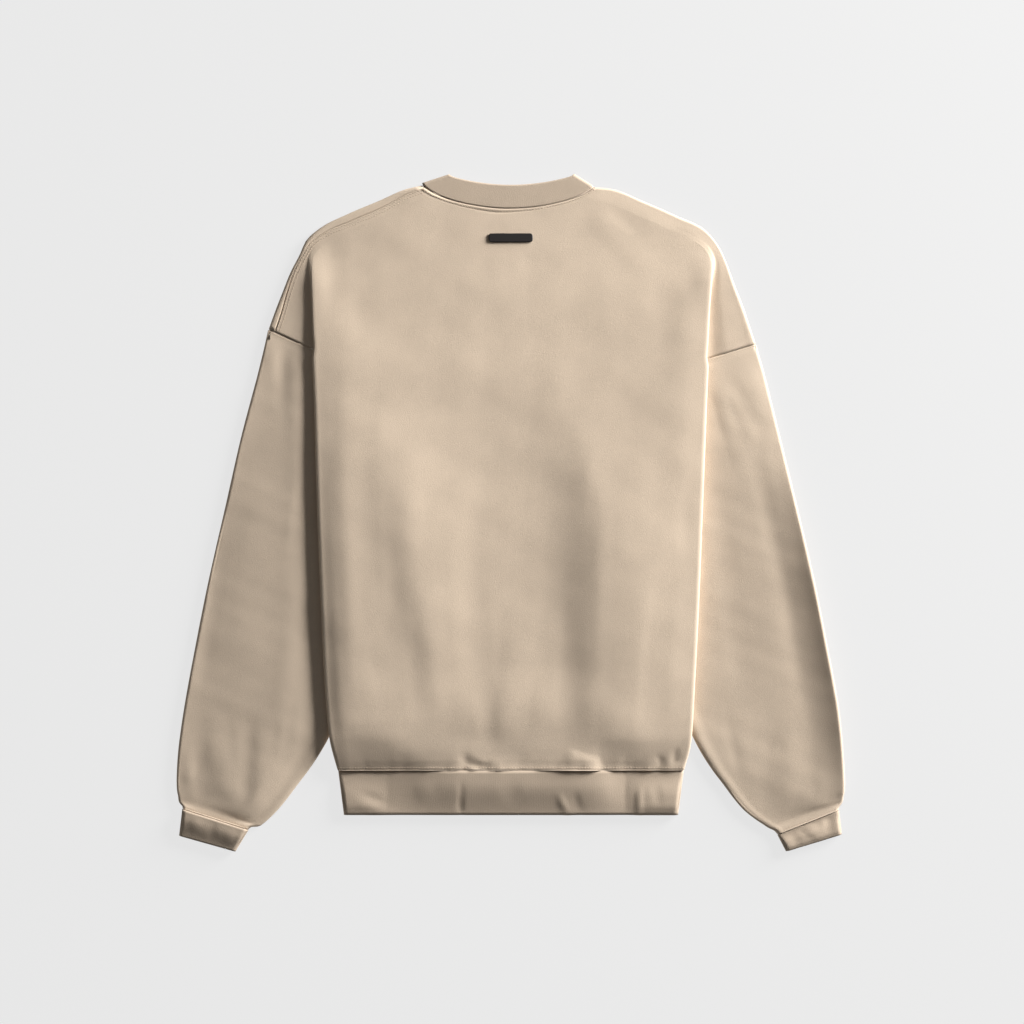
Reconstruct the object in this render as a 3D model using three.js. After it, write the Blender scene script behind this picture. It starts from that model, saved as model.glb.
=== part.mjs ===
// A crewneck sweatshirt laid flat on a table with its back up, in millimetres.
// +Z is up and the neck is toward +Y. The origin is on the table, under the middle of the garment.
// Each piece of cloth is a surface halfway through its wall, sampled on a grid and given its thickness.
// Places are written as [out, y], where out is the distance from the middle line to either side.
import * as THREE from "three";

// Driving dimensions
const FLEECE = 2.8;
const RIB = 3.2;
const LAYER_GAP = 0.3;
const SEAM_GAP = 0.35;
const HEM_SEAM_Y = -284.4;
const HEM_EDGE_Y = -334;
const HEM_HALF_WIDTH = [190.5, 184.2];
const TAB = { x: -0.3, y: 301.3, width: 48.7, height: 9.5, thickness: 1.2, corner: 3 };

// Heights of the middle of a fleece layer above the table
const FLOOR_LEVEL = FLEECE / 2;
const SECOND_LEVEL = FLOOR_LEVEL + FLEECE + LAYER_GAP;
const CENTRE_LEVEL = 5.2;
const RETURN_INNER = 8.1;
const RETURN_OUTER = 8.9;
const SIDE_LEVEL = 13.5;
const HEM_LEVEL = RIB * 1.5 + LAYER_GAP;
const HEM_RETURN = 1.6;

// The doubled bands of rib: heights of the two layers, and how far a fold's middle line lies inside its edge
const BAND_LEVELS = [RIB / 2, HEM_LEVEL];
const BAND_INSET = (HEM_LEVEL - RIB / 2) / 2 + RIB / 2;
const COLLAR_CORNER_GAP = 1.9;
const BAND_ROWS = [0, 0.5, 1];

// Sizes of the fold that lays the body over the sleeves
const EDGE_FOLD_OUT = (SIDE_LEVEL - RETURN_OUTER) / 2 + FLEECE / 2;
const PRESSED_FOLD = (SECOND_LEVEL - FLOOR_LEVEL) / 2;
const PRESSED_FOLD_OUT = PRESSED_FOLD + FLEECE / 2;
const SHOULDER_TUCK = 2.2;
const WRAP_END = 1.6;
const RAMP_LENGTH = 5;
const RAMP_END_LEVEL = 3.4;
const LIP_LIFT = 1.5;
const FLAT_FOLD_WIDTH = 6.5;
const FOLD_RISE = 45;
const FOLD_OPENING = 70;
const HEM_ROLL = 42;
const TIP_RISE = 4;

// Small distances at the hidden underarm and at the edges of the front panel
const UNDERARM = { below: 15, frontBelow: 14, above: 2, lift: 0.1 };
const ARMHOLE_REACH = SEAM_GAP * 2.2;
const FRONT_EDGE_INSET = 1;
const LAP_LEAST = 0.2;

// The photo's left, which is the wearer's left: the shoulder seam is rolled onto the back
const LEFT = {
  sign: -1,
  seamOnTop: true,
  foldTip: 284.4,
  sideSlope: 90,
  // y, out of the edge where the body folds over the sleeve
  bodyEdge: [
    [-284.4, 191.8], [-262.4, 196.9], [-251.4, 199.1], [-207.4, 203.5], [-97.4, 209],
    [12.7, 213.4], [122.7, 216.7], [232.7, 221.1], [284.4, 222.3],
  ],
  // share of the way from armhole to neck, out, y of the shoulder's outline
  shoulder: [
    [0, 267, 201], [0.1, 259.5, 222], [0.2, 251.5, 242.5], [0.3, 243.3, 263], [0.4, 232.5, 284],
    [0.46, 226.3, 298], [0.5, 219.5, 306.2], [0.56, 205.5, 315.2], [0.64, 185.9, 325.1],
    [0.74, 160, 336.5], [0.84, 135, 346.8], [0.93, 112.5, 356.5], [1, 98.5, 360.3],
  ],
  // share, out, y of the line where the fold begins, which runs on beside the shoulder
  foldLine: [
    [0, 215, 177.1], [0.1, 216.2, 203.5], [0.2, 217.2, 230], [0.3, 218, 256], [0.4, 217, 279],
    [0.46, 211.5, 288], [0.5, 206, 294], [0.56, 194.5, 301], [0.64, 176.5, 310.5],
    [0.74, 151.5, 321.5], [0.84, 128, 331.5], [0.93, 107, 341.5], [1, 85.2, 350],
  ],
  // share, distance of the shoulder seam from the outline
  seamInset: [[0, 7.5], [0.1, 7], [0.2, 4.9], [0.3, 3.8], [0.4, 3.8], [0.5, 6.5], [0.64, 9], [0.74, 9.6],
    [0.84, 8], [0.93, 5.5], [1, 3.8]],
  // share, out, y of the front panel's line inside the armhole
  frontLine: [[0, 175.4, 95.3], [0.14, 177, 140], [0.28, 177, 185], [0.42, 174, 232], [0.55, 164, 266],
    [0.7, 141, 296], [0.85, 114, 325], [1, 93, 346.1]],
  // corners of the armhole seam, from the sleeve's outer edge to the underarm
  armhole: [[267, 201], [215, 177.1], [202, 162], [191, 134], [183, 95]],
  // station, out and y of the sleeve's outer edge, out and y of its inner edge
  sleeve: [
    [0, 267, 201, 180.05, 95], [1, 279.4, 150.2, 179.5, 76], [2, 297, 84.2, 178.5, 45],
    [3, 315.7, 1.7, 177.5, -15], [4, 334.4, -80.9, 177.5, -85], [5, 348.2, -150.2, 179, -150],
    [6, 359.7, -212.9, 187, -215], [7, 366.9, -264.6, 209, -263.5], [8, 368.5, -300.9, 235.4, -300.9],
    [9, 367, -313, 256, -327.5], [10, 365.9, -319.5, 275.5, -345.5], [11, 362, -325, 287.7, -348.4],
    [12, 362.1, -326.5, 288.5, -349.7],
  ],
  cuffCorners: [[362.2, -327], [288.8, -350.2], [304, -374.1], [365.2, -356.9]],
};

// The photo's right, where the back panel wraps round the shoulder's edge
const RIGHT = {
  sign: 1,
  seamOnTop: false,
  foldTip: 291,
  sideSlope: 130,
  bodyEdge: [
    [-284.4, 191.6], [-262.4, 196.9], [-251.4, 198.5], [-207.4, 201.3], [-97.4, 206.8],
    [12.7, 211.2], [122.7, 215.6], [232.7, 220.6], [291, 224.6],
  ],
  shoulder: [
    [0, 269.5, 184.6], [0.1, 262.5, 206], [0.2, 255, 228], [0.3, 246.6, 249], [0.4, 237, 275],
    [0.46, 230.5, 289.5], [0.5, 222, 303], [0.56, 209, 313.5], [0.64, 188, 323.3],
    [0.74, 160.5, 335.5], [0.84, 134.5, 346.5], [0.93, 110, 355.8], [1, 91.3, 358.5],
  ],
  foldLine: [
    [0, 213.5, 167.2], [0.1, 215, 195], [0.2, 216.4, 222], [0.3, 218.3, 249], [0.4, 219.5, 274.5],
    [0.46, 215.5, 284.5], [0.5, 209, 292], [0.56, 198, 300], [0.64, 179, 308.5],
    [0.74, 152.5, 320.5], [0.84, 127.5, 331], [0.93, 104.5, 340.8], [1, 77, 349],
  ],
  seamInset: [[0, PRESSED_FOLD_OUT], [1, PRESSED_FOLD_OUT]],
  frontLine: [[0, 175.4, 88.3], [0.14, 177, 133], [0.28, 177, 180], [0.42, 175, 228], [0.55, 165, 264],
    [0.7, 141, 295], [0.85, 110, 325], [1, 86, 344.7]],
  armhole: [[269.5, 184.6], [213.5, 167.2], [202, 152], [191, 124], [183, 88]],
  sleeve: [
    [0, 269.5, 184.6, 180.05, 88], [1, 279.4, 150.2, 179.5, 70], [2, 295.9, 84.2, 178.5, 40],
    [3, 315.7, 1.7, 177.5, -15], [4, 334.4, -80.9, 177.5, -85], [5, 348, -150.2, 179, -150],
    [6, 359.7, -212.9, 187, -213], [7, 365.2, -264.6, 209, -264.6], [8, 367.4, -300.9, 234.3, -300.9],
    [9, 366.4, -313, 256.3, -328.4], [10, 365.2, -319.9, 281.6, -347.1], [11, 361.1, -326.6, 292.4, -354],
    [12, 361.2, -328.1, 293.1, -355.3],
  ],
  cuffCorners: [[361.3, -328.6], [293.4, -355.9], [303.2, -373.9], [364.1, -355.3]],
};
const SIDES = [LEFT, RIGHT];

// y, out of the side seam, which lies under the body on both sides
const SIDE_SEAM = [[-284.4, 186.3], [-262, 186.5], [-240, 185.5], [-215, 182.8], [-185, 178.1],
  [-150, 175.2], [-85, 173.8], [-15, 173.8], [45, 174.8], [76, 175.8], [95, 176.4]];

// The large folds of the back: y, x and height of each crest, with the widths of its two flanks
const FOLDS = [
  {
    left: 37, right: 95,
    crest: [[190, 26, 0], [123, 41, 2], [46, 71, 5], [-20, 95, 7.6], [-97, 101, 8.6], [-207, 101, 6.5],
      [-273, 101, 2]],
  },
  {
    left: 30, right: 45,
    crest: [[110, -128, 0], [46, -122, 2.4], [-97, -95, 3.2], [-196, -73, 2.6], [-262, -62, 0.6]],
  },
  {
    left: 52, right: 34,
    crest: [[100, 15, 0], [40, 20, 1.6], [-75, 22, 2.4], [-190, 18, 1.4], [-250, 10, 0.4]],
  },
];

// Columns and rows of the grids
const FOLD_CELLS = 4;
const RETURN_CELLS = 2;
const SHOULDER_CELLS = 3;
const MAIN_SHARES = [0, 0.052, 0.11, 0.17, 0.23, 0.285, 0.35, 0.42, 0.49, 0.555, 0.605, 0.645, 0.675,
  0.705, 0.735, 0.775, 0.83, 0.885, 0.945, 1];
const LOWER_ROWS = [-283.9, -279, -271, -261, -250, -235, -215, -185, -140, -90, -40, 10, 50];
const UPPER_SHARES = [0, 0.06, 0.12, 0.18, 0.23, 0.28, 0.32, 0.36, 0.4, 0.46, 0.54, 0.66, 0.8, 0.92, 1];
const FRONT_ROWS = [-283.9, -272, -258, -240, -215, -185, -150, -85, -15, 45];
const FRONT_CELLS = 14;

const mix = (a, b, t) => a + (b - a) * t;
const mixPoint = (a, b, t) => a.map((value, k) => mix(value, b[k], t));
const clamp = (t) => Math.min(1, Math.max(0, t));
const range = (count) => Array.from({ length: count }, (_, k) => k);
const span = (cells) => range(cells + 1).map((k) => k / cells);

// Smooth step from 0 at a to 1 at b
function ease(a, b, t) {
  const s = clamp((t - a) / (b - a));
  return s * s * (3 - 2 * s);
}

// The values of a table at t: cubic pieces whose slope at each row is the mean of its neighbours' slopes
function track(rows, t) {
  let k = 0;
  while (k < rows.length - 2 && t > rows[k + 1][0]) k += 1;
  const [p, q] = [rows[k], rows[k + 1]];
  const h = q[0] - p[0];
  const s = clamp((t - p[0]) / h);
  const slope = (a, b, c) => (b[c] - a[c]) / (b[0] - a[0]);
  return range(p.length - 1).map((_, n) => {
    const c = n + 1;
    const here = slope(p, q, c);
    const start = k > 0 ? (slope(rows[k - 1], p, c) + here) / 2 : here;
    const end = k < rows.length - 2 ? (here + slope(q, rows[k + 2], c)) / 2 : here;
    const bend = s * (1 - s) * h;
    return mix(p[c], q[c], s * s * (3 - 2 * s)) + bend * ((1 - s) * start - s * end);
  });
}

// A point on a chain of straight pieces, at a share of its length
function along(chain, share) {
  const lengths = chain.slice(1).map((p, k) => Math.hypot(p[0] - chain[k][0], p[1] - chain[k][1]));
  let rest = share * lengths.reduce((sum, length) => sum + length, 0);
  for (let k = 0; k < lengths.length; k += 1) {
    const last = k === lengths.length - 1;
    if (last || rest <= lengths[k]) return mixPoint(chain[k], chain[k + 1], rest / lengths[k]);
    rest -= lengths[k];
  }
  return chain[0];
}

// The shares of its length at which a chain has its corners
function cornerShares(chain) {
  const lengths = chain.slice(1).map((p, k) => Math.hypot(p[0] - chain[k][0], p[1] - chain[k][1]));
  const whole = lengths.reduce((sum, length) => sum + length, 0);
  return lengths.reduce((shares, length) => [...shares, shares.at(-1) + length / whole], [0]);
}

// Neck curves drop from corner to corner as a power of a sine: collar seams and free edges
const NECK = {
  backSeam: { from: [-98.5, 360.3], to: [91.3, 358.5], drop: 26.4, power: 0.6 },
  frontSeam: { from: [-98.5, 360.3], to: [91.3, 358.5], drop: 86, power: 0.75 },
  backEdge: { from: [-68.2, 374.3], to: [70.4, 374.1], drop: 10, power: 0.8 },
  frontEdge: { from: [-68.2, 374.3], to: [70.4, 374.1], drop: 69, power: 0.75 },
};
function neckPoint(curve, share) {
  const [x, y] = mixPoint(curve.from, curve.to, clamp(share));
  return [x, y - curve.drop * Math.sin(Math.PI * clamp(share)) ** curve.power];
}
const neckShare = (curve, x) => (x - curve.from[0]) / (curve.to[0] - curve.from[0]);

// How far a neck seam lies above the straight line between two of its points, at a share of that line
function neckBulge(curve, from, to, share) {
  const [x, y] = mixPoint(from, to, share);
  return neckPoint(curve, neckShare(curve, x))[1] - y;
}

// How much of the body's height and how much of its side fold there is at y: none at the fold's tip
const foldHeight = (side, y) => ease(0, FOLD_RISE, side.foldTip + TIP_RISE - y);
const foldShare = (side, y) => ease(0, FOLD_OPENING, side.foldTip - y);
const hemShare = (y) => Math.sin((Math.PI / 2) * clamp((y - HEM_SEAM_Y) / HEM_ROLL));
const bodyEdge = (side, y) => track(side.bodyEdge, y)[0];
const shoulderLevel = (share) => SECOND_LEVEL + (RIB - FLEECE) * ease(0.85, 1, share);

// Height of the back over the front, before its sides rise over the sleeves
function restingHeight(x, y) {
  return FOLDS.reduce((z, fold) => {
    const [crest, height] = track([...fold.crest].reverse(), y);
    const t = clamp(Math.abs(x - crest) / (x < crest ? fold.left : fold.right));
    return z + Math.max(0, height) * (1 - t * t) ** 2;
  }, CENTRE_LEVEL);
}

// Height of the middle of the back panel's wall
function backHeight(x, y) {
  const resting = restingHeight(x, y);
  const z = SIDES.reduce((sum, side) => {
    const inward = bodyEdge(side, y) - EDGE_FOLD_OUT - side.sign * x;
    return sum + (SIDE_LEVEL - resting) * foldHeight(side, y) * (1 - ease(0, side.sideSlope, inward));
  }, resting);
  return mix(HEM_LEVEL, z, hemShare(y));
}

// A shell: a wall of the given thickness about a grid of points, with its edges closed.
// A ring closes its rows on themselves, and a skipped cell is left open.
function shell(rows, thickness, { ring = false, skip = () => false } = {}) {
  const width = rows[0].length;
  const columns = ring ? width : width - 1;
  const cells = [];
  for (let j = 0; j < rows.length - 1; j += 1) {
    for (let i = 0; i < columns; i += 1) {
      const corners = [[i, j], [(i + 1) % width, j], [(i + 1) % width, j + 1], [i, j + 1]];
      if (!skip(i, j)) cells.push(corners.map(([column, row]) => row * width + column));
    }
  }
  const triangles = cells.flatMap(([a, b, c, d]) => [[a, b, c], [a, c, d]]);
  const middle = rows.flat();
  const normals = middle.map(() => new THREE.Vector3());
  triangles.forEach((corners) => {
    const [a, b, c] = corners.map((k) => middle[k]);
    const normal = b.clone().sub(a).cross(c.clone().sub(a));
    corners.forEach((k) => normals[k].add(normal));
  });
  normals.forEach((normal) => normal.normalize());

  const used = new Map();
  const positions = [];
  triangles.flat().forEach((k) => {
    if (used.has(k)) return;
    used.set(k, used.size);
    positions.push(middle[k].clone().addScaledVector(normals[k], thickness / 2));
    positions.push(middle[k].clone().addScaledVector(normals[k], -thickness / 2));
  });
  const over = (k) => used.get(k) * 2;
  const under = (k) => used.get(k) * 2 + 1;
  const edges = new Set(triangles.flatMap(([a, b, c]) => [`${a},${b}`, `${b},${c}`, `${c},${a}`]));
  const index = triangles.flatMap(([a, b, c]) => [over(a), over(b), over(c), under(a), under(c), under(b)]);
  edges.forEach((edge) => {
    const [a, b] = edge.split(",").map(Number);
    if (!edges.has(`${b},${a}`)) index.push(over(b), over(a), under(a), over(b), under(a), under(b));
  });
  const geometry = new THREE.BufferGeometry().setFromPoints(positions).setIndex(index);
  geometry.computeVertexNormals();
  return geometry;
}

// The fold's columns, from the body's edge fold through the return to its end: outward offset and height
function foldedColumns({ top, outer, inner, end, depth, ramp, rampLength }) {
  const edgeRadius = (top - outer) / 2;
  const turnRadius = (inner - end) / 2;
  const edge = range(FOLD_CELLS).map((k) => {
    const angle = (Math.PI * (k + 1)) / FOLD_CELLS;
    return [edgeRadius * Math.sin(angle), outer + edgeRadius * (1 + Math.cos(angle))];
  });
  const back = range(RETURN_CELLS).map((k) => {
    const share = (k + 1) / RETURN_CELLS;
    return [-depth * share, mix(outer, inner, share)];
  });
  const turn = range(FOLD_CELLS).map((k) => {
    const share = (k + 1) / FOLD_CELLS;
    const angle = Math.PI * share;
    const turned = [-depth - turnRadius * Math.sin(angle), end + turnRadius * (1 + Math.cos(angle))];
    const dipping = [-depth - rampLength * share, mix(inner, end, share ** 1.6)];
    return mixPoint(turned, dipping, ramp);
  });
  return [...edge, ...back, ...turn];
}

// One row of the back panel on one side, from the body's edge outward, as [out, y, height] points
function lowerSide(side, row) {
  const share = hemShare(row.y);
  const start = [bodyEdge(side, row.y) - mix(PRESSED_FOLD + RIB / 2, EDGE_FOLD_OUT, share), row.y];
  const target = row.seam ?? [track(SIDE_SEAM, row.y)[0], row.y];
  const rampLength = row.ramp * mix(0.5, RAMP_LENGTH, share);
  const reach = Math.hypot(start[0] - target[0], start[1] - target[1]);
  const outward = [(start[0] - target[0]) / reach, (start[1] - target[1]) / reach];
  const columns = foldedColumns({
    top: mix(HEM_LEVEL, SIDE_LEVEL, share),
    outer: mix(HEM_RETURN, RETURN_OUTER, share),
    inner: mix(HEM_RETURN - 0.1, RETURN_INNER, share),
    end: mix(FLOOR_LEVEL, row.end, share),
    depth: reach - rampLength + (row.seam ? ARMHOLE_REACH : 0),
    ramp: row.ramp,
    rampLength,
  });
  const points = columns.map(([offset, z]) =>
    [start[0] + outward[0] * offset, start[1] + outward[1] * offset, z]);
  return { start, points };
}

// The same above the armhole, where the fold opens toward its tip and the panel runs on to the shoulder
function upperSide(side, share) {
  const outline = track(side.shoulder, share);
  const start = track(side.foldLine, share);
  const length = Math.hypot(outline[0] - start[0], outline[1] - start[1]);
  const outward = [(outline[0] - start[0]) / length, (outline[1] - start[1]) / length];
  const inset = track(side.seamInset, share)[0];
  const reach = length - inset;
  const folded = foldedColumns({
    top: SIDE_LEVEL,
    outer: RETURN_OUTER,
    inner: RETURN_INNER,
    end: SECOND_LEVEL,
    depth: SHOULDER_TUCK,
    ramp: 0,
    rampLength: 0,
  });
  const height = foldHeight(side, start[1]);
  const opening = foldShare(side, start[1]);
  const resting = restingHeight(side.sign * start[0], start[1]);
  const level = shoulderLevel(share);
  const fold = folded.map(([offset, z], k) => {
    const flat = (FLAT_FOLD_WIDTH * (k + 1)) / folded.length;
    return [mix(flat, offset, opening), mix(mix(resting, level, flat / reach), z, height)];
  });
  const last = fold.at(-1);
  const shoulder = range(SHOULDER_CELLS).map((k) => {
    const step = (k + 1) / SHOULDER_CELLS;
    return [mix(last[0], reach, step), mix(last[1], level, step)];
  });
  const quarter = [30, 60, 90].map((degrees) => {
    const angle = THREE.MathUtils.degToRad(degrees);
    return [reach + PRESSED_FOLD * Math.sin(angle), level - PRESSED_FOLD * (1 - Math.cos(angle))];
  });
  const wrap = side.seamOnTop ? [] : [...quarter, [quarter.at(-1)[0], WRAP_END]];
  const points = [...fold, ...shoulder, ...wrap].map(([offset, z]) =>
    [start[0] + outward[0] * offset, start[1] + outward[1] * offset, z]);
  return { start, points };
}

// The rows below the armhole on one side: down the side seam, then along the hidden armhole seam
function lowerRows(side) {
  const [, second, third, fourth, underarm] = side.armhole;
  const seamRows = [...LOWER_ROWS, underarm[1] - UNDERARM.below];
  const plain = seamRows.map((y) => ({ y, ramp: 1, end: RAMP_END_LEVEL }));
  const corner = { y: underarm[1] + UNDERARM.above, ramp: 1, end: SECOND_LEVEL + UNDERARM.lift };
  const seams = [mixPoint(underarm, fourth, 0.5), fourth, mixPoint(fourth, third, 0.5), third,
    mixPoint(third, second, 0.5)];
  const hidden = seams.map((seam) => ({ y: seam[1] + LAYER_GAP, seam, ramp: 0, end: SECOND_LEVEL }));
  return [...plain, corner, ...hidden];
}

function backPanel() {
  const lower = SIDES.map((side) => lowerRows(side).map((row) => lowerSide(side, row)));
  const upper = SIDES.map((side) => UPPER_SHARES.map((share) => upperSide(side, share)));
  const most = upper.map((rows) => rows[0].points.length);
  const rowCount = lower[0].length + UPPER_SHARES.length;
  const neckEnds = [[-upper[0].at(-1).start[0], upper[0].at(-1).start[1]], upper[1].at(-1).start];
  const rows = range(rowCount).map((j) => {
    const upperIndex = j - lower[0].length;
    const pair = upperIndex < 0 ? lower.map((list) => list[j]) : upper.map((list) => list[upperIndex]);
    const [left, right] = pair;
    const neck = upperIndex < 0 ? 0 : UPPER_SHARES[upperIndex];
    const ends = [[-left.start[0], left.start[1]], right.start];
    const main = MAIN_SHARES.map((q) => {
      const [x, y] = mixPoint(ends[0], ends[1], q);
      const place = [x, y + neckBulge(NECK.backSeam, ...neckEnds, q) * neck ** 3];
      return new THREE.Vector3(...place, backHeight(...place));
    });
    const flank = (points, sign, count) => range(count).map((k) => {
      const [out, y, z] = points[Math.min(k, points.length - 1)];
      const seamY = neckPoint(NECK.backSeam, neckShare(NECK.backSeam, sign * out))[1];
      return new THREE.Vector3(sign * out, neck === 1 ? seamY : y, z);
    });
    return [...flank(left.points, -1, most[0]).reverse(), ...main, ...flank(right.points, 1, most[1])];
  });
  const foldColumns = FOLD_CELLS * 2 + RETURN_CELLS;
  const firstLeft = most[0] - foldColumns;
  const lastRight = most[0] + MAIN_SHARES.length - 1 + foldColumns;
  return shell(rows, FLEECE, { skip: (i, j) => j < lower[0].length && (i < firstLeft || i >= lastRight) });
}

// A point of the shoulder at a share of its length, at a distance inward from the outline
function shoulderPoint(side, share, inset) {
  const outline = track(side.shoulder, share);
  const toward = track(side.foldLine, share);
  const length = Math.hypot(toward[0] - outline[0], toward[1] - outline[1]);
  return mixPoint(outline, toward, inset / length);
}

// One row of the front panel's shoulder, from the outline's roll inward, as [out, y, height] points
function frontShoulder(side, share) {
  const level = shoulderLevel(share);
  const groundInset = side.seamOnTop ? PRESSED_FOLD_OUT : FLEECE + SEAM_GAP;
  const roll = [180, 140, 95, 50].map((degrees) => {
    const angle = THREE.MathUtils.degToRad(degrees);
    const inset = PRESSED_FOLD_OUT - PRESSED_FOLD * Math.sin(angle);
    return [inset, mix(FLOOR_LEVEL, level, (1 - Math.cos(angle)) / 2)];
  });
  const lap = Math.max(track(side.seamInset, share)[0] - SEAM_GAP, PRESSED_FOLD_OUT + LAP_LEAST);
  const edge = [...(side.seamOnTop ? [[lap, level], ...roll] : []), [groundInset, FLOOR_LEVEL]];

  const [underOut, underY] = side.armhole.at(-1);
  const underarm = [underOut - SEAM_GAP * 2, underY + SEAM_GAP * 2];
  const last = track(side.frontLine, 0);
  const corners = [...side.armhole.slice(1, -1), underarm, [last[0], underY + SEAM_GAP]];
  const shares = cornerShares([side.armhole[0], ...corners]);
  const first = shoulderPoint(side, 0, groundInset);
  const from = shoulderPoint(side, share, groundInset);
  const to = track(side.frontLine, share);
  const bend = 1 - ease(0, 0.5, share);
  const ground = corners.slice(0, -1).map((corner, k) => {
    const straight = mixPoint(from, to, shares[k + 1]);
    const chord = mixPoint(first, last, shares[k + 1]);
    return [0, 1].map((axis) => straight[axis] + (corner[axis] - chord[axis]) * bend);
  });
  return [
    ...edge.map(([inset, z]) => [...shoulderPoint(side, share, inset), z]),
    ...ground.map((point) => [...point, FLOOR_LEVEL]),
  ];
}

function frontPanel() {
  const lipInsets = [0, 1.4, 2.8, 4.2];
  const lowest = FRONT_ROWS.length + 1;
  const widths = SIDES.map((side) => frontShoulder(side, 0).length);
  const lowerEnd = (side, j) => {
    const y = j < FRONT_ROWS.length ? FRONT_ROWS[j] : side.armhole.at(-1)[1] - UNDERARM.frontBelow;
    return [track(SIDE_SEAM, y)[0] - FRONT_EDGE_INSET, y, hemShare(y)];
  };
  const neckEnds = SIDES.map((side) => {
    const [out, y] = track(side.frontLine, 1);
    return [side.sign * out, y];
  });
  const rows = range(lowest + UPPER_SHARES.length).map((j) => {
    const share = j < lowest ? 0 : UPPER_SHARES[j - lowest];
    const ends = SIDES.map((side) => (j < lowest ? lowerEnd(side, j) : [...track(side.frontLine, share), 0]));
    const [left, right] = [[-ends[0][0], ends[0][1]], [ends[1][0], ends[1][1]]];
    const place = (q) => {
      const [x, y] = mixPoint(left, right, q);
      return [x, y + neckBulge(NECK.frontSeam, ...neckEnds, q) * share ** 1.3];
    };
    const wide = right[0] - left[0];
    const lip = (at, end) => lipInsets.map((inset) => {
      const lift = LIP_LIFT * (1 - inset / lipInsets.at(-1)) ** 2 * end[2];
      return new THREE.Vector3(...place(Math.abs(at - inset / wide)), FLOOR_LEVEL + lift);
    });
    const lips = [lip(0, ends[0]), lip(1, ends[1])];
    const inner = lipInsets.at(-1) / wide;
    const main = span(FRONT_CELLS).slice(1, -1).map((q) =>
      new THREE.Vector3(...place(mix(inner, 1 - inner, q)), FLOOR_LEVEL));
    const shoulders = SIDES.map((side) => frontShoulder(side, share).map(([out, y, z]) => {
      const curve = z > FLOOR_LEVEL + LAYER_GAP ? NECK.backSeam : NECK.frontSeam;
      const seam = neckPoint(curve, neckShare(curve, side.sign * out))[1];
      return new THREE.Vector3(side.sign * out, share === 1 ? seam : y, z);
    }));
    return [...shoulders[0], ...lips[0], ...main, ...lips[1].reverse(), ...shoulders[1].reverse()];
  });
  const lastColumn = rows[0].length - 1 - widths[1];
  return shell(rows, FLEECE, { skip: (i, j) => j < lowest && (i < widths[0] || i >= lastColumn) });
}

// A sleeve: a flattened tube from the armhole to the cuff, lofted where it shows beside the body
const SLEEVE_STATIONS = [0, 0.35, 0.7, 1, 1.5, 2, 2.5, 3, 3.5, 4, 4.5, 5, 5.5, 6, 6.5, 7, 7.5, 8, 8.5,
  9, 9.5, 9.85, 10, 11, 12];
const SLEEVE_LOFT = [[0, 0], [1, 2.5], [2, 4.5], [6, 5], [8, 6], [9, 5.5], [9.6, 4], [10, 1.6],
  [11, 0.5], [12, 0.5]];
function sleeve(side) {
  const corners = cornerShares(side.armhole);
  const fill = (cells, a, b) => range(cells).map((k) => mix(a, b, k / cells));
  const shares = [...fill(6, corners[0], corners[1]), ...fill(3, corners[1], corners[2]),
    ...fill(2, corners[2], corners[3]), ...fill(3, corners[3], corners[4]), 1];
  const back = [...corners].reverse();
  const rows = SLEEVE_STATIONS.map((station) => {
    const [outerOut, outerY, innerOut, innerY] = track(side.sleeve, station);
    const across = Math.hypot(outerOut - innerOut, outerY - innerY);
    const inward = [(innerOut - outerOut) / across, (innerY - outerY) / across];
    const insetBy = (inset) => [outerOut + inward[0] * inset, outerY + inward[1] * inset];
    const ends = station === 0
      ? [side.armhole[0], side.armhole.at(-1)]
      : [insetBy(PRESSED_FOLD_OUT), insetBy(across - PRESSED_FOLD_OUT)];
    const bend = 1 - ease(0, 3, station);
    const plan = (share) => {
      const straight = mixPoint(ends[0], ends[1], share);
      const chord = mixPoint(side.armhole[0], side.armhole.at(-1), share);
      const seam = along(side.armhole, share);
      return [0, 1].map((axis) => straight[axis] + (seam[axis] - chord[axis]) * bend);
    };
    const loft = track(SLEEVE_LOFT, station)[0];
    const upper = shares.map((share) => {
      const [out, y] = plan(share);
      const hidden = Math.max(bodyEdge(side, y) + 1, ends[1][0]);
      const shown = (out - hidden) / (ends[0][0] - hidden);
      const crown = ease(0, 0.4, shown) * ease(0, 0.3, 1 - shown);
      return [out, y, SECOND_LEVEL + loft * crown];
    });
    const fold = (at, direction, from) => [1, 2, 3].map((k) => {
      const angle = from + (Math.PI * k) / 4;
      const reach = PRESSED_FOLD * Math.sin(Math.PI * k / 4);
      return [at[0] + direction[0] * reach, at[1] + direction[1] * reach,
        FLOOR_LEVEL + PRESSED_FOLD * (1 + Math.cos(angle))];
    });
    const innerWay = station === 0 ? [-1, 0] : inward;
    const outerWay = [-inward[0], -inward[1]];
    const outerEnd = station === 0 ? insetBy(PRESSED_FOLD_OUT) : ends[0];
    const lower = back.map((share) => [...plan(share), FLOOR_LEVEL]);
    const ring = [...upper, ...fold(ends[1], innerWay, 0), ...lower, ...fold(outerEnd, outerWay, Math.PI)];
    if (station === 0) {
      ring[0] = [...outerEnd, SECOND_LEVEL];
      ring[ring.length - 4] = [...outerEnd, FLOOR_LEVEL];
    }
    const shift = station === 0 ? SEAM_GAP : 0;
    return ring.map(([out, y, z]) => new THREE.Vector3(side.sign * (out + shift), y - shift, z));
  });
  return shell(side.sign > 0 ? rows : rows.map((row) => [...row].reverse()), FLEECE, { ring: true });
}

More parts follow.
